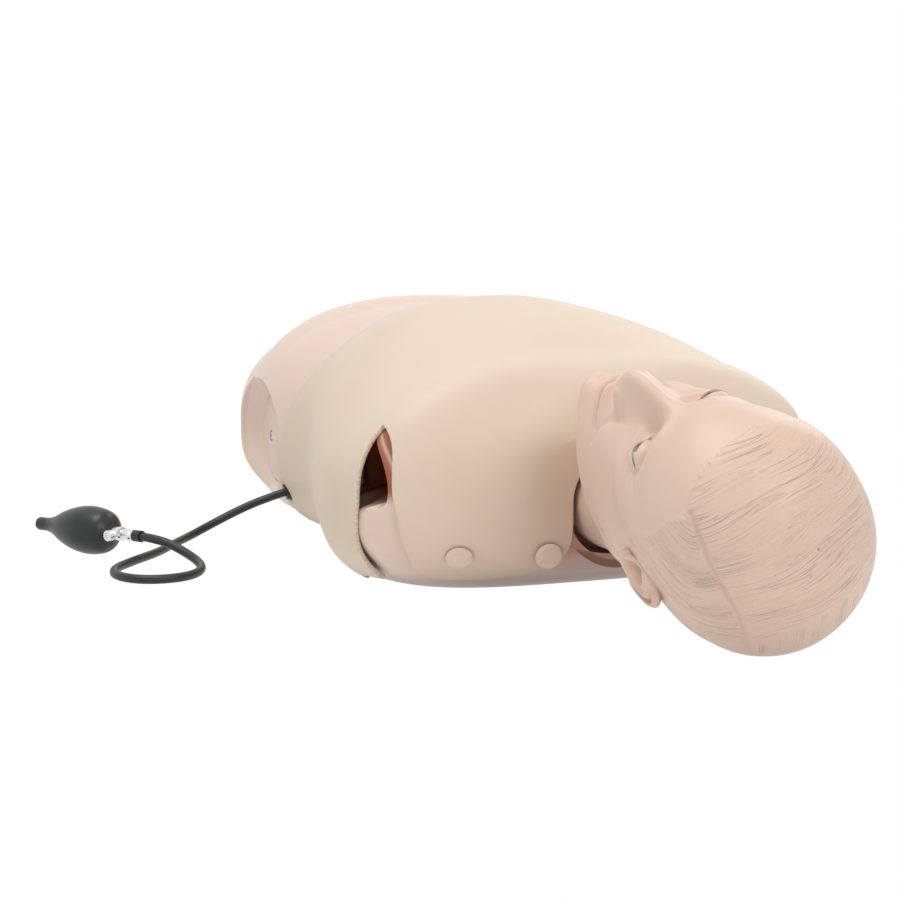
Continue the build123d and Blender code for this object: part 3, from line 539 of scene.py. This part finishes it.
def outside_strap(y, z):
    """Signed distance from the strap's edge, positive where the armhole or the strap's foot is open."""
    line = smooth_line(strap_line, 160)
    ring = np.concatenate([line, [(0, line[-1, 1]), (0, -40), (-300, -40), (-300, line[0, 1])]])
    p = np.stack([-np.abs(y), z], -1)
    odd = np.zeros(len(p), bool)
    for (y0, z0), (y1, z1) in zip(ring, np.roll(ring, -1, 0)):
        if z0 != z1:
            odd ^= ((z0 > p[:, 1]) != (z1 > p[:, 1])) & (p[:, 0] < y0 + (p[:, 1] - z0) * (y1 - y0) / (z1 - z0))
    gap_to = np.full(len(p), 1e9)
    for a, b in zip(line, line[1:]):
        way = b - a
        t = np.clip(((p - a) @ way) / (way @ way), 0, 1)
        gap_to = np.minimum(gap_to, np.hypot(*(p - a - t[:, None] * way).T))
    return np.where(odd, gap_to, -gap_to)


def skin_grid(out):
    """The skin's surface with flat rings that close it in towards the neckline."""
    stations = np.concatenate([np.arange(-262, 90, 3.4), np.arange(90, 166, 1.5),
                               top_x - 16 * np.linspace(1, 0, 30) ** 1.4])
    body = trunk_grid(stations, 250, out)
    edge = body[-1]
    front_x, inner_radius, rise = edge[:, 0].max(), 43, 3.2
    turned = np.arctan2(edge[:, 2] - neck_z, edge[:, 1])
    ring = np.stack([np.full(len(edge), front_x), inner_radius * np.cos(turned),
                     neck_z + inner_radius * np.sin(turned)], -1)
    rows = []
    for s in np.linspace(0.08, 1, 22):
        row = edge * (1 - s) + ring * s
        row[:, 0] += rise * (1 - (1 - s) ** 2)
        rows.append(row)
    return np.concatenate([body, rows])


outer, inner = skin_grid(gap + thick), skin_grid(gap)
rows, count = outer.shape[:2]
sheet = np.concatenate([outer.reshape(-1, 3), inner.reshape(-1, 3)], 1)
faces = faces_of(rows, count)
hem, hole = smooth_line(hem_line, 200), smooth_line(armhole_line[::-1], 200)
x, y, z = sheet[:, 3:].T
sheet, faces = clip(sheet, faces, x - np.interp(z, hem[:, 1], hem[:, 0]))
sheet, faces = clip(sheet, faces, sheet[:, 5] - 9.0 - 11.0 * smooth_step((sheet[:, 3] - 30) / 60))
x, y, z = sheet[:, 3:].T
neckline_radius = 46
sheet, faces = clip(sheet, faces, np.hypot(y, z - neck_z) - neckline_radius + np.where(x < 150, 500, 0))
x, y, z = sheet[:, 3:].T
near = x > 80
open_side = np.full(len(x), -50.0)
open_side[near] = outside_strap(y[near], z[near])
sheet, faces = clip(sheet, faces, -np.minimum(x - np.interp(z, hole[:, 1], hole[:, 0]), open_side))
hose_start, hose_after, hose_hole = np.array([-236.7, -163.0, 41.8]), np.array([-239.2, -183.0, 35.9]), 9.5
way = (hose_after - hose_start) / np.linalg.norm(hose_after - hose_start)
off = sheet[:, 3:] - hose_start
off = off - (off @ way)[:, None] * way
sheet, faces = clip(sheet, faces, np.linalg.norm(off, axis=1) - hose_hole + np.where(sheet[:, 4] > 0, 500, 0))


def thickened(sheet, faces, lip):
    """Both sides of a clipped sheet, joined by a rounded lip along every free edge."""
    count = len(sheet)
    edges = np.concatenate([faces[:, [0, 1]], faces[:, [1, 2]], faces[:, [2, 0]]])
    key = np.sort(edges, 1)
    _, first, times = np.unique(key[:, 0].astype(np.int64) * count + key[:, 1], return_index=True, return_counts=True)
    rim = edges[first[times == 1]]
    top, low = sheet[:, :3], sheet[:, 3:]
    along = top[rim[:, 1]] - top[rim[:, 0]]
    through = top[rim[:, 0]] - low[rim[:, 0]]
    away = np.cross(along, through)
    out = np.zeros_like(top)
    for k in (0, 1):
        np.add.at(out, rim[:, k], away)
    out /= np.maximum(np.linalg.norm(out, axis=1, keepdims=True), 1e-9)
    ids = np.unique(rim)
    place = np.full(count, -1)
    place[ids] = np.arange(len(ids))
    shares = [0.0, 0.06, 0.2, 0.5, 0.8, 0.94, 1.0]
    rows = [top[ids] * (1 - s) + low[ids] * s + out[ids] * lip * np.sqrt(np.maximum(1 - (2 * s - 1) ** 2, 0))[..., None]
            for s in shares[1:-1]]
    points = np.concatenate([top, low] + rows)
    chain = [ids] + [2 * count + i * len(ids) + np.arange(len(ids)) for i in range(len(rows))] + [ids + count]
    walls = []
    a, b = place[rim[:, 0]], place[rim[:, 1]]
    for upper, lower in zip(chain, chain[1:]):
        walls += [np.stack([upper[b], upper[a], lower[a]], -1), np.stack([upper[b], lower[a], lower[b]], -1)]
    return points, np.concatenate([faces, faces[:, ::-1] + count] + walls)


skin_points, skin_faces = thickened(sheet, faces, 0.8)
skin = piece("chest_skin_sheet", skin_points, skin_faces, skin_vinyl, "torso")
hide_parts("chest_skin")
x, y, z = skin_points.T
# Painted shade on the skin, kept in the attribute "deep": strongest round the neckline at the skin's top end.
neck_shade = smooth_step((105 - np.hypot(y, z - neck_z)) / 50)
attribute(skin, "deep", 0.42 * np.exp(-((x - 172) / 20) ** 2) * neck_shade)
for side in ("left", "right"):
    finish_node(f"strap_buttons_{side}", skin_vinyl)


# Hip caps: low domes set in the hips' recesses, each held by a cross-head screw at its centre.
def turned(name, origin, axis, profile, material, body, count=96, angle=40):
    """A solid of revolution: profile is (radius, height along the axis) in millimetres."""
    axis = np.asarray(axis, float) / np.linalg.norm(axis)
    side = np.cross(axis, [0, 0, 1.0] if abs(axis[2]) < 0.9 else [1.0, 0, 0])
    side /= np.linalg.norm(side)
    other = np.cross(axis, side)
    t = np.linspace(0, 2 * np.pi, count + 1)[:-1]
    ring = np.cos(t)[:, None] * side + np.sin(t)[:, None] * other
    grid = np.array([np.asarray(origin) + h * axis + max(r, 0.001) * ring for r, h in profile])
    obj = piece(name, grid.reshape(-1, 3), faces_of(len(profile), count), material, body, angle=angle)
    attribute(obj, "radius", np.repeat([r for r, _ in profile], count))
    return obj


cap_vinyl, _ = vinyl("cap_vinyl", (0.72, 0.565, 0.48), (0.68, 0.50, 0.41), 0.38)
dome = [(46.9 * np.cos(a), 4.0 + 6.4 * np.sin(a)) for a in np.linspace(0.12, np.pi / 2 - 0.13, 30)]
for side, name in ((-1, "left"), (1, "right")):
    profile = [(46.2, 0.0), (46.9, 0.6), (46.9, 3.9)] + dome + [(7.4, 10.1), (5.4, 9.2), (5.1, 8.0), (0.0, 8.0)]
    cap = turned(f"hip_cap_form_{name}", (-304, side * 147, 91), (0, side, 0), profile, cap_vinyl, "torso")
    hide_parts(f"hip_cap_{name}")
    finish_node(f"hip_screw_{name}", zinc)

# Hose, valve and bulb: a black rubber hose that leaves the flank, loops over itself and ends in a
# chromed valve with a thumb knob, which is pushed into a pear-shaped squeeze bulb.
rubber = shader("hose_rubber", Base_Color=(0.012, 0.013, 0.014, 1), Roughness=0.42)
bulb_rubber = shader("bulb_rubber", Base_Color=(0.010, 0.011, 0.013, 1), Roughness=0.36)
chrome = shader("chrome", Base_Color=(0.75, 0.75, 0.76, 1), Metallic=1.0, Roughness=0.12)
hose_route = [
    (-236.7, -163.0, 41.8), (-239.2, -183.0, 35.9), (-244.0, -207.0, 26.0), (-245.0, -235.0, 13.0),
    (-228.0, -262.0, 4.8), (-193.0, -286.0, 4.2), (-158.0, -307.0, 4.0), (-123.0, -336.0, 4.2),
    (-90.0, -361.0, 4.0), (-56.0, -366.0, 4.2), (-30.0, -347.0, 4.0), (-27.0, -315.0, 4.2),
    (-49.0, -292.0, 4.0), (-82.0, -284.0, 4.8), (-106.0, -293.0, 12.0), (-122.0, -312.5, 22.6),
    (-148.0, -330.5, 22.6)]
curve = bpy.data.curves.new("hose_line", "CURVE")
curve.dimensions = "3D"
curve.bevel_depth = 0.004
curve.bevel_resolution = 8
curve.use_fill_caps = True
line = curve.splines.new("NURBS")
line.points.add(len(hose_route) - 1)
line.points.foreach_set("co", np.array([(x / 1000, y / 1000, z / 1000, 1) for x, y, z in hose_route]).ravel())
line.order_u = 3
line.use_endpoint_u = True
line.resolution_u = 16
curve.materials.append(rubber)
hose = bpy.data.objects.new("hose_line", curve)
scene.collection.objects.link(hose)
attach(hose, "torso")
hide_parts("hose")
hose_end, hose_before = np.array(hose_route[-1]), np.array(hose_route[-2])
bulb_way = (hose_end - hose_before) / np.linalg.norm(hose_end - hose_before)
bulb_start = hose_end + bulb_way * 26
shape = spline([0, 4.5, 14, 29, 47, 65, 77, 86], [[7.0], [14.5], [20.6], [22.5], [20.2], [14.0], [8.6], [6.2]],
               np.linspace(0, 86, 60))[:, 0]
profile = [(5.3, -0.2), (6.3, -0.2), (6.8, 0.2)] + list(zip(shape, np.linspace(0, 86, 60)))[1:]
profile += [(6.2, 87), (6.2, 96.6), (5.9, 97.9), (5.0, 98.5), (3.3, 98.5), (3.25, 97.0)]
bulb = turned("squeeze_bulb", bulb_start, bulb_way, profile, bulb_rubber, "torso", angle=50)
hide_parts("bulb")
for name, material in (("hose_cuff", rubber), ("valve_body", chrome), ("valve_knob", chrome), ("intake_valve", chrome)):
    finish_node(name, material)

# Neck: the bush and washer in the dish, and the post, plate and bolt that hold the head. They are
# the CAD's own pieces; the neck hides them.
nylon = shader("nylon", Base_Color=(0.80, 0.79, 0.74, 1), Roughness=0.45)
turned_metal = shader("turned_aluminium", Base_Color=(0.70, 0.70, 0.71, 1), Metallic=1.0, Roughness=0.3)
for name, material in (("neck_bush", nylon), ("neck_thrust_washer", nylon), ("neck_post", turned_metal),
                       ("neck_retainer", zinc), ("neck_bolt", zinc)):
    finish_node(name, material)

# Head: one soft moulding, turned to the manikin's left. Its rows run from the neck's foot to the
# crown; brow, lids, nose, lips, chin and moulded hair are added to them, and the lids are cut open.
head_rows = np.array([
    (-185, 41, -59, -18, 23, 2.0, 2.0), (-165, 41, -59, -18, 23, 2.0, 2.0), (-148, 41.5, -59.5, -18, 24, 2.0, 2.0),
    (-132, 43, -61, -18, 27, 2.0, 2.0), (-117, 46, -64, -17, 33, 2.0, 2.0), (-105, 50, -67, -14, 52, 2.0, 2.1),
    (-97, 52, -69, -6, 80, 1.9, 2.1), (-88, 54, -72, 4, 96, 1.9, 2.2), (-76, 56, -76, 8, 99, 1.9, 2.3),
    (-62, 59, -80, 8, 98, 1.9, 2.3), (-48, 60.5, -84, 5, 99, 2.0, 2.3), (-25, 63, -90, 0, 98, 2.1, 2.3),
    (0, 67.5, -95, -5, 94, 2.2, 2.2), (20, 73, -96, -8, 91, 2.2, 2.2), (38, 75, -95, -8, 90, 2.0, 2.2),
    (62, 76, -92, -8, 88, 1.95, 2.2), (86, 70, -85, -8, 77, 2.25, 2.1), (106, 57, -66, -8, 61.5, 2.5, 2.1),
    (120, 39, -50, -7, 38.5, 2.0, 2.0), (128, 20, -29, -6, 18, 2.0, 2.0), (131.5, 0.6, -6.6, -6, -5.4, 2.0, 2.0)])
size = (head_rows[:, 1] + (head_rows[:, 4] - head_rows[:, 2]) / 2) / 2
run = np.concatenate([[0], np.cumsum(np.hypot(np.diff(head_rows[:, 0]), np.diff(size)))])


def row_run(u):
    """How far along the rows, by running length, the height u lies."""
    return np.interp(u, head_rows[:, 0], run)


stations = np.concatenate([np.linspace(0, row_run(-118), 26)[:-1], np.linspace(row_run(-118), row_run(52), 176)[:-1],
                           np.linspace(row_run(52), run[-1], 96)])
rows = spline(run, head_rows, stations)
rows[:, 1:2] = np.maximum(rows[:, 1:2], 0.4)
count = 300
flat = around(rows[:, 1:], count, front=2.2)
head = np.concatenate([np.broadcast_to(rows[:, :1, None], flat.shape[:2] + (1,)), flat], -1)


def hill(u, a, at, size, height, power=2.0):
    """A bump of this height around at, which falls off as exp of minus each distance over its size, to a power."""
    return height * np.exp(-np.abs((u - at[0]) / size[0]) ** power - np.abs((a - at[1]) / size[1]) ** power)


def face_depth(u, v):
    """How far the face stands forward of the plain form, in millimetres."""
    a = np.abs(v)
    nose = np.maximum(spline([-60, -40, -35, -31, -28, -25, -21, -16, -9, 0, 8, 16, 24, 34, 60],
                             [[0], [0], [0.6], [3.4], [8], [14], [19.5], [23.6], [26], [25.6], [22.6], [17.2],
                              [11.4], [5.2], [0]],
                             u.ravel())[:, 0].reshape(u.shape), 0)
    breadth = np.interp(u, [-34, -24, -14, -4, 8, 22, 34], [13, 14.0, 13.8, 12.6, 10.4, 8.8, 10])
    d = nose * np.exp(-np.abs(a / breadth) ** 2.4)
    d += hill(u, a, (-19.5, 14.5), (6.4, 4.6), 9.0) - hill(u, a, (-18, 21.5), (8, 2.6), 2.6)
    d += -hill(u, a, (-28.5, 6.5), (2.0, 3.0), 5.0) - hill(u, a, (-39, 0), (6, 2.6), 1.3)
    d += -hill(u, a, (20, 31), (12.5, 17), 8.0) - hill(u, a, (19, 15.5), (10, 6), 5.5)
    arch = 38.5 - 0.010 * (a - 22) ** 2
    d += 4.2 * np.exp(-((u - arch) / 6.5) ** 2) * np.exp(-np.abs((a - 28) / 22) ** 3)
    lip = -51.5 + 1.5 * (a / 27) ** 2
    d += hill(u, a, (-54, 0), (24, 27), 6.5, 2.4)
    d += 5.0 * np.exp(-((u - lip - 4.4) / 3.6) ** 2 - np.abs(a / 21) ** 3.4) * (1 - 0.25 * np.exp(-(a / 3) ** 2))
    d += 6.2 * np.exp(-((u - lip + 5.2) / 4.2) ** 2 - np.abs(a / 18) ** 3.0)
    d += -6.0 * np.exp(-((u - lip) / 1.4) ** 2 - np.abs(a / 27) ** 6) - hill(u, a, (-51.0, 28.5), (5.0, 3.4), 3.4)
    d += -hill(u, a, (-70, 0), (3.8, 17), 3.4) + hill(u, a, (-92, 0), (13, 22), 14.5, 2.2)
    start, end = np.array([-21.0, 20.0]), np.array([-52.0, 35.0])
    t = np.clip(((u - start[0]) * (end[0] - start[0]) + (a - start[1]) * (end[1] - start[1]))
                / ((end - start) @ (end - start)), 0, 1)
    fold = np.hypot(u - start[0] - t * (end[0] - start[0]), a - start[1] - t * (end[1] - start[1]))
    d += -2.4 * np.exp(-(fold / 2.8) ** 2) + hill(u, a, (-26, 37), (15, 13), 4.0) + hill(u, a, (0, 50), (11, 15), 3.6)
    d += hill(u, a, (8, 31), (2.6, 12), 1.4) - hill(u, a, (3.6, 31), (2.2, 13), 1.3)
    d += -hill(u, a, (-74, 46), (14, 10), 2.0) - hill(u, a, (30, 62), (20, 12), 3.0)
    return d


u, v, w = head[..., 0], head[..., 1], head[..., 2]
front = smooth_step((w - 12) / 34)
head[..., 2] += face_depth(u, v) * front * (u < 100)
eye_u, eye_v, eye_w, lid = 20.5, 31.5, 71.5, 13.5
d2 = (u - eye_u) ** 2 + (np.abs(v) - eye_v) ** 2
ball = eye_w + np.sqrt(np.maximum(lid ** 2 - d2, 0))
near_eye = (d2 < (lid + 4) ** 2) & (w > 40)
risen = -soft_min(-head[..., 2], -np.where(d2 < lid ** 2, ball, eye_w - 20), 2.6)
head[..., 2] = np.where(near_eye, risen, head[..., 2])
crease = np.exp(-((np.sqrt(d2) - 12.2) / 1.0) ** 2) * smooth_step((u - 22) / 3) * (w > 40)
head[..., 2] -= 1.8 * crease
for k in range(3):
    r = (head[..., 0] - (23 - 3.2 * k)) - (np.abs(head[..., 1]) - 46) * (0.5 - 0.5 * k)
    line_mask = smooth_step((np.abs(head[..., 1]) - 45) / 2) * smooth_step((58 - np.abs(head[..., 1])) / 5)
    head[..., 2] -= 0.8 * np.exp(-(r / 0.9) ** 2) * line_mask * (w > 30)


def hair_line(p):
    """Above zero where the moulded hair lies."""
    u, v, w = p[..., 0], p[..., 1], p[..., 2]
    ragged = 1.2 * np.sin(v * 0.9) * np.sin(w * 0.7 + u * 0.5) + 0.8 * np.sin(v * 2.3 + u * 1.7)
    forehead = u - 91 + 0.0009 * (v + 10) ** 2
    side = np.interp(u, [-140, -62, -56, -14, -8, 4, 20, 45, 55, 63, 71, 90, 140],
                     [-200, -200, -30, -24, 14, 25, 31, 36, 39, 44, 50, 51, 60]) - w
    return np.maximum(forehead, side) + ragged * 0.7


def part_at(w):
    """How far to the left the parting lies at depth w."""
    return np.interp(w, [-56, -38, -5, 21, 41, 52], [-58.0, -59.5, -60.1, -58.9, -54.6, -50.4])


def parting(p):
    """Distance from the side parting, which runs back over the crown's left."""
    off = np.abs(p[..., 1] - part_at(p[..., 2]))
    past = np.maximum(np.maximum(p[..., 2] - 52, -57 - p[..., 2]), 0) + np.where(p[..., 0] < 70, 60, 0)
    return np.hypot(off, past)


n = normals(head)
hair = smooth_step(hair_line(head) / 1.6)
groove = np.exp(-(parting(head) / 1.2) ** 2)
head = head + n * (1.0 * hair - 0.6 * groove * hair)[..., None]

head[-1] = head[-2].mean(0) + [0.2, 0, 0]
points, faces = head.reshape(-1, 3), faces_of(len(head), count)
a = np.abs(points[:, 1]) - eye_v
q = 1 - (a / 12.8) ** 2
middle = eye_u + 0.34 * a
slit = np.maximum(points[:, 0] - (middle + 3.4 * q), (middle - 3.9 * q) - points[:, 0])
slit = np.where(points[:, 2] > 45, slit, 20.0)
sheet = np.concatenate([points, points - [0, 0, 1.7]], 1)
sheet, faces = clip(sheet, faces, slit)
edges = np.concatenate([faces[:, [0, 1]], faces[:, [1, 2]], faces[:, [2, 0]]])
key = np.sort(edges, 1)
_, first, times = np.unique(key[:, 0].astype(np.int64) * len(sheet) + key[:, 1], return_index=True, return_counts=True)
rim = edges[first[times == 1]]
rim = rim[sheet[rim[:, 0], 2] > 45]
head_points = np.concatenate([sheet[:, :3], sheet[:, 3:]])
low = rim + len(sheet)
head_faces = np.concatenate([faces, np.stack([rim[:, 1], rim[:, 0], low[:, 0]], -1),
                             np.stack([rim[:, 1], low[:, 0], low[:, 1]], -1)])
used, head_faces = np.unique(head_faces, return_inverse=True)
head_points, head_faces = head_points[used], head_faces.reshape(-1, 3)


def strands(p):
    """Comb coordinates: along a strand, across the strands, and which side of the parting."""
    u, v, w = p[:, 0], p[:, 1], p[:, 2]
    crown = v > part_at(w)
    over = np.maximum(v + 57, 0)
    across_crown = w + 0.06 * over + 2.5 * np.sin(over / 15 + w / 26)
    along_crown = over + 0.3 * w
    down = np.maximum(96 - u, 0)
    across_side = w - 0.45 * down - 0.003 * down ** 2 + 1.8 * np.sin(down / 11 + w / 20)
    along, across = np.where(crown, along_crown, down), np.where(crown, across_crown, across_side + 300)
    behind = smooth_step((-50 - w) / 6)[:, None]
    nape = np.stack([u, v + 2.0 * np.sin(u / 12) + 600, crown * 0 + 2.0], -1)
    return np.where(behind > 0.5, nape, np.stack([along, across, crown * 1.0], -1))


head_turn, ears_x, ears_above_axis = np.radians(32), 350, 18


def head_place(points):
    """From the ears' frame to the trunk's, with the head turned about the neck's axis as it rests."""
    y, z = points[:, 1], points[:, 2] + ears_above_axis
    c, s = np.cos(head_turn), np.sin(head_turn)
    return np.stack([points[:, 0] + ears_x, y * c - z * s, neck_z + y * s + z * c], -1)


head_vinyl, group = vinyl("head_vinyl", (0.70, 0.525, 0.425), (0.665, 0.47, 0.375), 0.40, 0.015)
nodes, wire = head_vinyl.node_tree.nodes, head_vinyl.node_tree.links.new
comb = nodes.new("ShaderNodeAttribute")
comb.attribute_name = "comb"
patch = nodes.new("ShaderNodeAttribute")
patch.attribute_name = "hair"


def math_node(kind, a, b=None, clamp=False):
    """The output of a maths node on the head's tree, fed by numbers or by other outputs."""
    node = nodes.new("ShaderNodeMath")
    node.operation, node.use_clamp = kind, clamp
    for slot_in, value in zip(node.inputs, (a, b)):
        if value is None:
            continue
        if isinstance(value, (int, float)):
            slot_in.default_value = value
        else:
            wire(value, slot_in)
    return node.outputs[0]


def strand_lines(stretch_along, stretch_across, seed, repeats, width):
    """Thin wavy lines: the contours of a noise drawn out along the strands."""
    scale = nodes.new("ShaderNodeMapping")
    scale.inputs["Scale"].default_value = (stretch_along, stretch_across, 3.7)
    scale.inputs["Location"].default_value = (seed, seed * 2, seed)
    wire(comb.outputs["Vector"], scale.inputs["Vector"])
    noise = nodes.new("ShaderNodeTexNoise")
    noise.inputs["Scale"].default_value = 1.0
    noise.inputs["Detail"].default_value = 1.0
    wire(scale.outputs["Vector"], noise.inputs["Vector"])
    band = math_node("PINGPONG", math_node("MULTIPLY", noise.outputs["Fac"], repeats), 0.5)
    return math_node("SUBTRACT", 1.0, math_node("DIVIDE", band, width, True), True)


broad = strand_lines(0.012, 0.30, 3.0, 4.0, 0.055)
thin = strand_lines(0.018, 0.75, 9.0, 4.0, 0.10)
gate_noise = strand_lines(0.02, 0.05, 5.0, 1.0, 0.55)
other_gate = strand_lines(0.025, 0.06, 7.0, 1.5, 0.50)
broad, thin = math_node("MULTIPLY", broad, other_gate), math_node("MULTIPLY", thin, gate_noise)
lines = math_node("MAXIMUM", broad, math_node("MULTIPLY", thin, 0.7))
lines = math_node("MULTIPLY", lines, patch.outputs["Fac"])
part_line = nodes.new("ShaderNodeAttribute")
part_line.attribute_name = "parting"
lines = math_node("MAXIMUM", lines, part_line.outputs["Fac"])
dent = nodes.new("ShaderNodeBump")
dent.invert = True
dent.inputs["Strength"].default_value = 0.9
dent.inputs["Distance"].default_value = 0.0006
wire(lines, dent.inputs["Height"])
wire(dent.outputs["Normal"], group.inputs["Normal"])
# Painted shade: the strand lines and the parting draw the head's colour towards deep brown, as shade in the moulded
# hair's grooves; the same lines also drive the dent above.
shade = nodes.new("ShaderNodeMix")
shade.data_type = "RGBA"
shade.inputs["A"].default_value = (0.70, 0.525, 0.425, 1)
shade.inputs["B"].default_value = (0.42, 0.21, 0.13, 1)
wire(math_node("MULTIPLY", lines, 0.42), shade.inputs["Factor"])
wire(shade.outputs["Result"], group.inputs["Colour"])

head_form = piece("head_moulding", head_place(head_points), head_faces, head_vinyl, "head")
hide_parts("head_shell")
attribute(head_form, "comb", strands(head_points))
seam = 1 - np.exp(-((head_points[:, 2] + 53) / 2.5) ** 2)
attribute(head_form, "hair", seam * smooth_step(hair_line(head_points) / 2.5))
attribute(head_form, "parting", 0.75 * np.exp(-(parting(head_points) / 1.1) ** 2) * smooth_step(hair_line(head_points)))

# Ears: a leaf on each side with helix, antihelix, bowl, tragus and lobe, its back running down
# into the head.
ear_rows, ear_count = 44, 120
t = np.linspace(0, 2 * np.pi, ear_count + 1)[:-1]
share = np.linspace(0.0, 1.0, ear_rows) ** 0.85
for side, name in ((-1, "left"), (1, "right")):
    top, foot, flare = np.array([31.7, -75.5, -10.1]), np.array([-26.6, -65.4, 7.8]), np.radians(18.6)
    long_way = (top - foot) / np.linalg.norm(top - foot)
    back_way = np.array([0, -np.sin(flare), -np.cos(flare)])
    back_way -= (back_way @ long_way) * long_way
    back_way /= np.linalg.norm(back_way)
    out_way = np.cross(long_way, back_way)
    if out_way[1] > 0:
        out_way = -out_way
    centre = (top + foot) / 2 + back_way * 3 + out_way * 3.5
    length, width = 30.9, 16.7
    c, s = np.cos(t), np.sin(t)
    edge_a = length * c
    edge_b = width * s * (1 + 0.20 * c) * np.where(s < 0, 0.85, 1.0)
    rows = []
    for r in share:
        a, b = edge_a * r, edge_b * r
        h = 2.6 * np.exp(-((r - 0.93) / 0.07) ** 2) * smooth_step((c + 0.75) / 0.5)
        h += 2.2 * np.exp(-((r - 0.64) / 0.09) ** 2) * smooth_step((s + 0.25) / 0.4) * smooth_step((c + 0.7) / 0.5)
        h += -1.6 * np.exp(-((r - 0.80) / 0.05) ** 2) * smooth_step((s + 0.3) / 0.4) * smooth_step((c + 0.5) / 0.5)
        h += -9.5 * np.exp(-((a + 8) / 11.5) ** 4 - ((b + 2.0) / 7.2) ** 4)
        h += 4.0 * np.exp(-((a + 8) / 5.5) ** 2 - ((b + 12.0) / 3.4) ** 2)
        h += -2.0 * (b / width) ** 2
        rows.append(centre + np.outer(a, long_way) + np.outer(b, back_way) + np.outer(h, out_way))
    rim_row = rows[-1]
    for out, grow in ((-1.2, 1.03), (-2.8, 1.035), (-4.2, 1.0), (-6.5, 0.9), (-11, 0.78), (-18, 0.7)):
        rows.append(centre + (rim_row - centre) * grow + out * out_way)
    ear = np.array(rows)
    points = ear.reshape(-1, 3) * [1, -side, 1]
    faces = faces_of(len(ear), ear_count)
    if side > 0:
        faces = faces[:, ::-1]
    ear_obj = piece(f"ear_{name}", head_place(points), faces, head_vinyl, "head")
    for attr in ("hair", "parting"):
        attribute(ear_obj, attr, np.zeros(len(points)))
    attribute(ear_obj, "comb", np.zeros((len(points), 3)))

# Eyes: glossy balls behind the half-closed lids, with a painted grey-blue iris.
eye_gloss = shader("eye_gloss", Roughness=0.08)
nodes, wire = eye_gloss.node_tree.nodes, eye_gloss.node_tree.links.new
place_on = nodes.new("ShaderNodeAttribute")
place_on.attribute_name = "radius"
ramp = nodes.new("ShaderNodeValToRGB")
ramp.color_ramp.elements[0].position, ramp.color_ramp.elements[0].color = 0.0, (0.008, 0.008, 0.01, 1)
ramp.color_ramp.elements[1].position, ramp.color_ramp.elements[1].color = 1.0, (0.55, 0.56, 0.55, 1)
for position, colour in ((0.17, (0.008, 0.008, 0.01, 1)), (0.20, (0.12, 0.16, 0.21, 1)), (0.42, (0.20, 0.26, 0.32, 1)),
                         (0.47, (0.06, 0.08, 0.10, 1)), (0.52, (0.60, 0.60, 0.58, 1))):
    element = ramp.color_ramp.elements.new(position)
    element.color = colour
wire(math_node("DIVIDE", place_on.outputs["Fac"], 12.0), ramp.inputs["Fac"])
wire(ramp.outputs["Color"], nodes["Principled BSDF"].inputs["Base Color"])
gaze = np.array([-0.10, -np.sin(head_turn), np.cos(head_turn)])
eye_radius = 12
for side, name in ((-1, "left"), (1, "right")):
    centre = head_place(np.array([[eye_u, side * eye_v, eye_w]]))[0]
    profile = [(eye_radius * np.sin(a) + 0.001, eye_radius * np.cos(a)) for a in np.linspace(0, np.pi, 40)]
    eye = turned(f"eye_ball_{name}", centre, gaze, profile, eye_gloss, "head", count=64, angle=80)
    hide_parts(f"eye_{name}")

low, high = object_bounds()
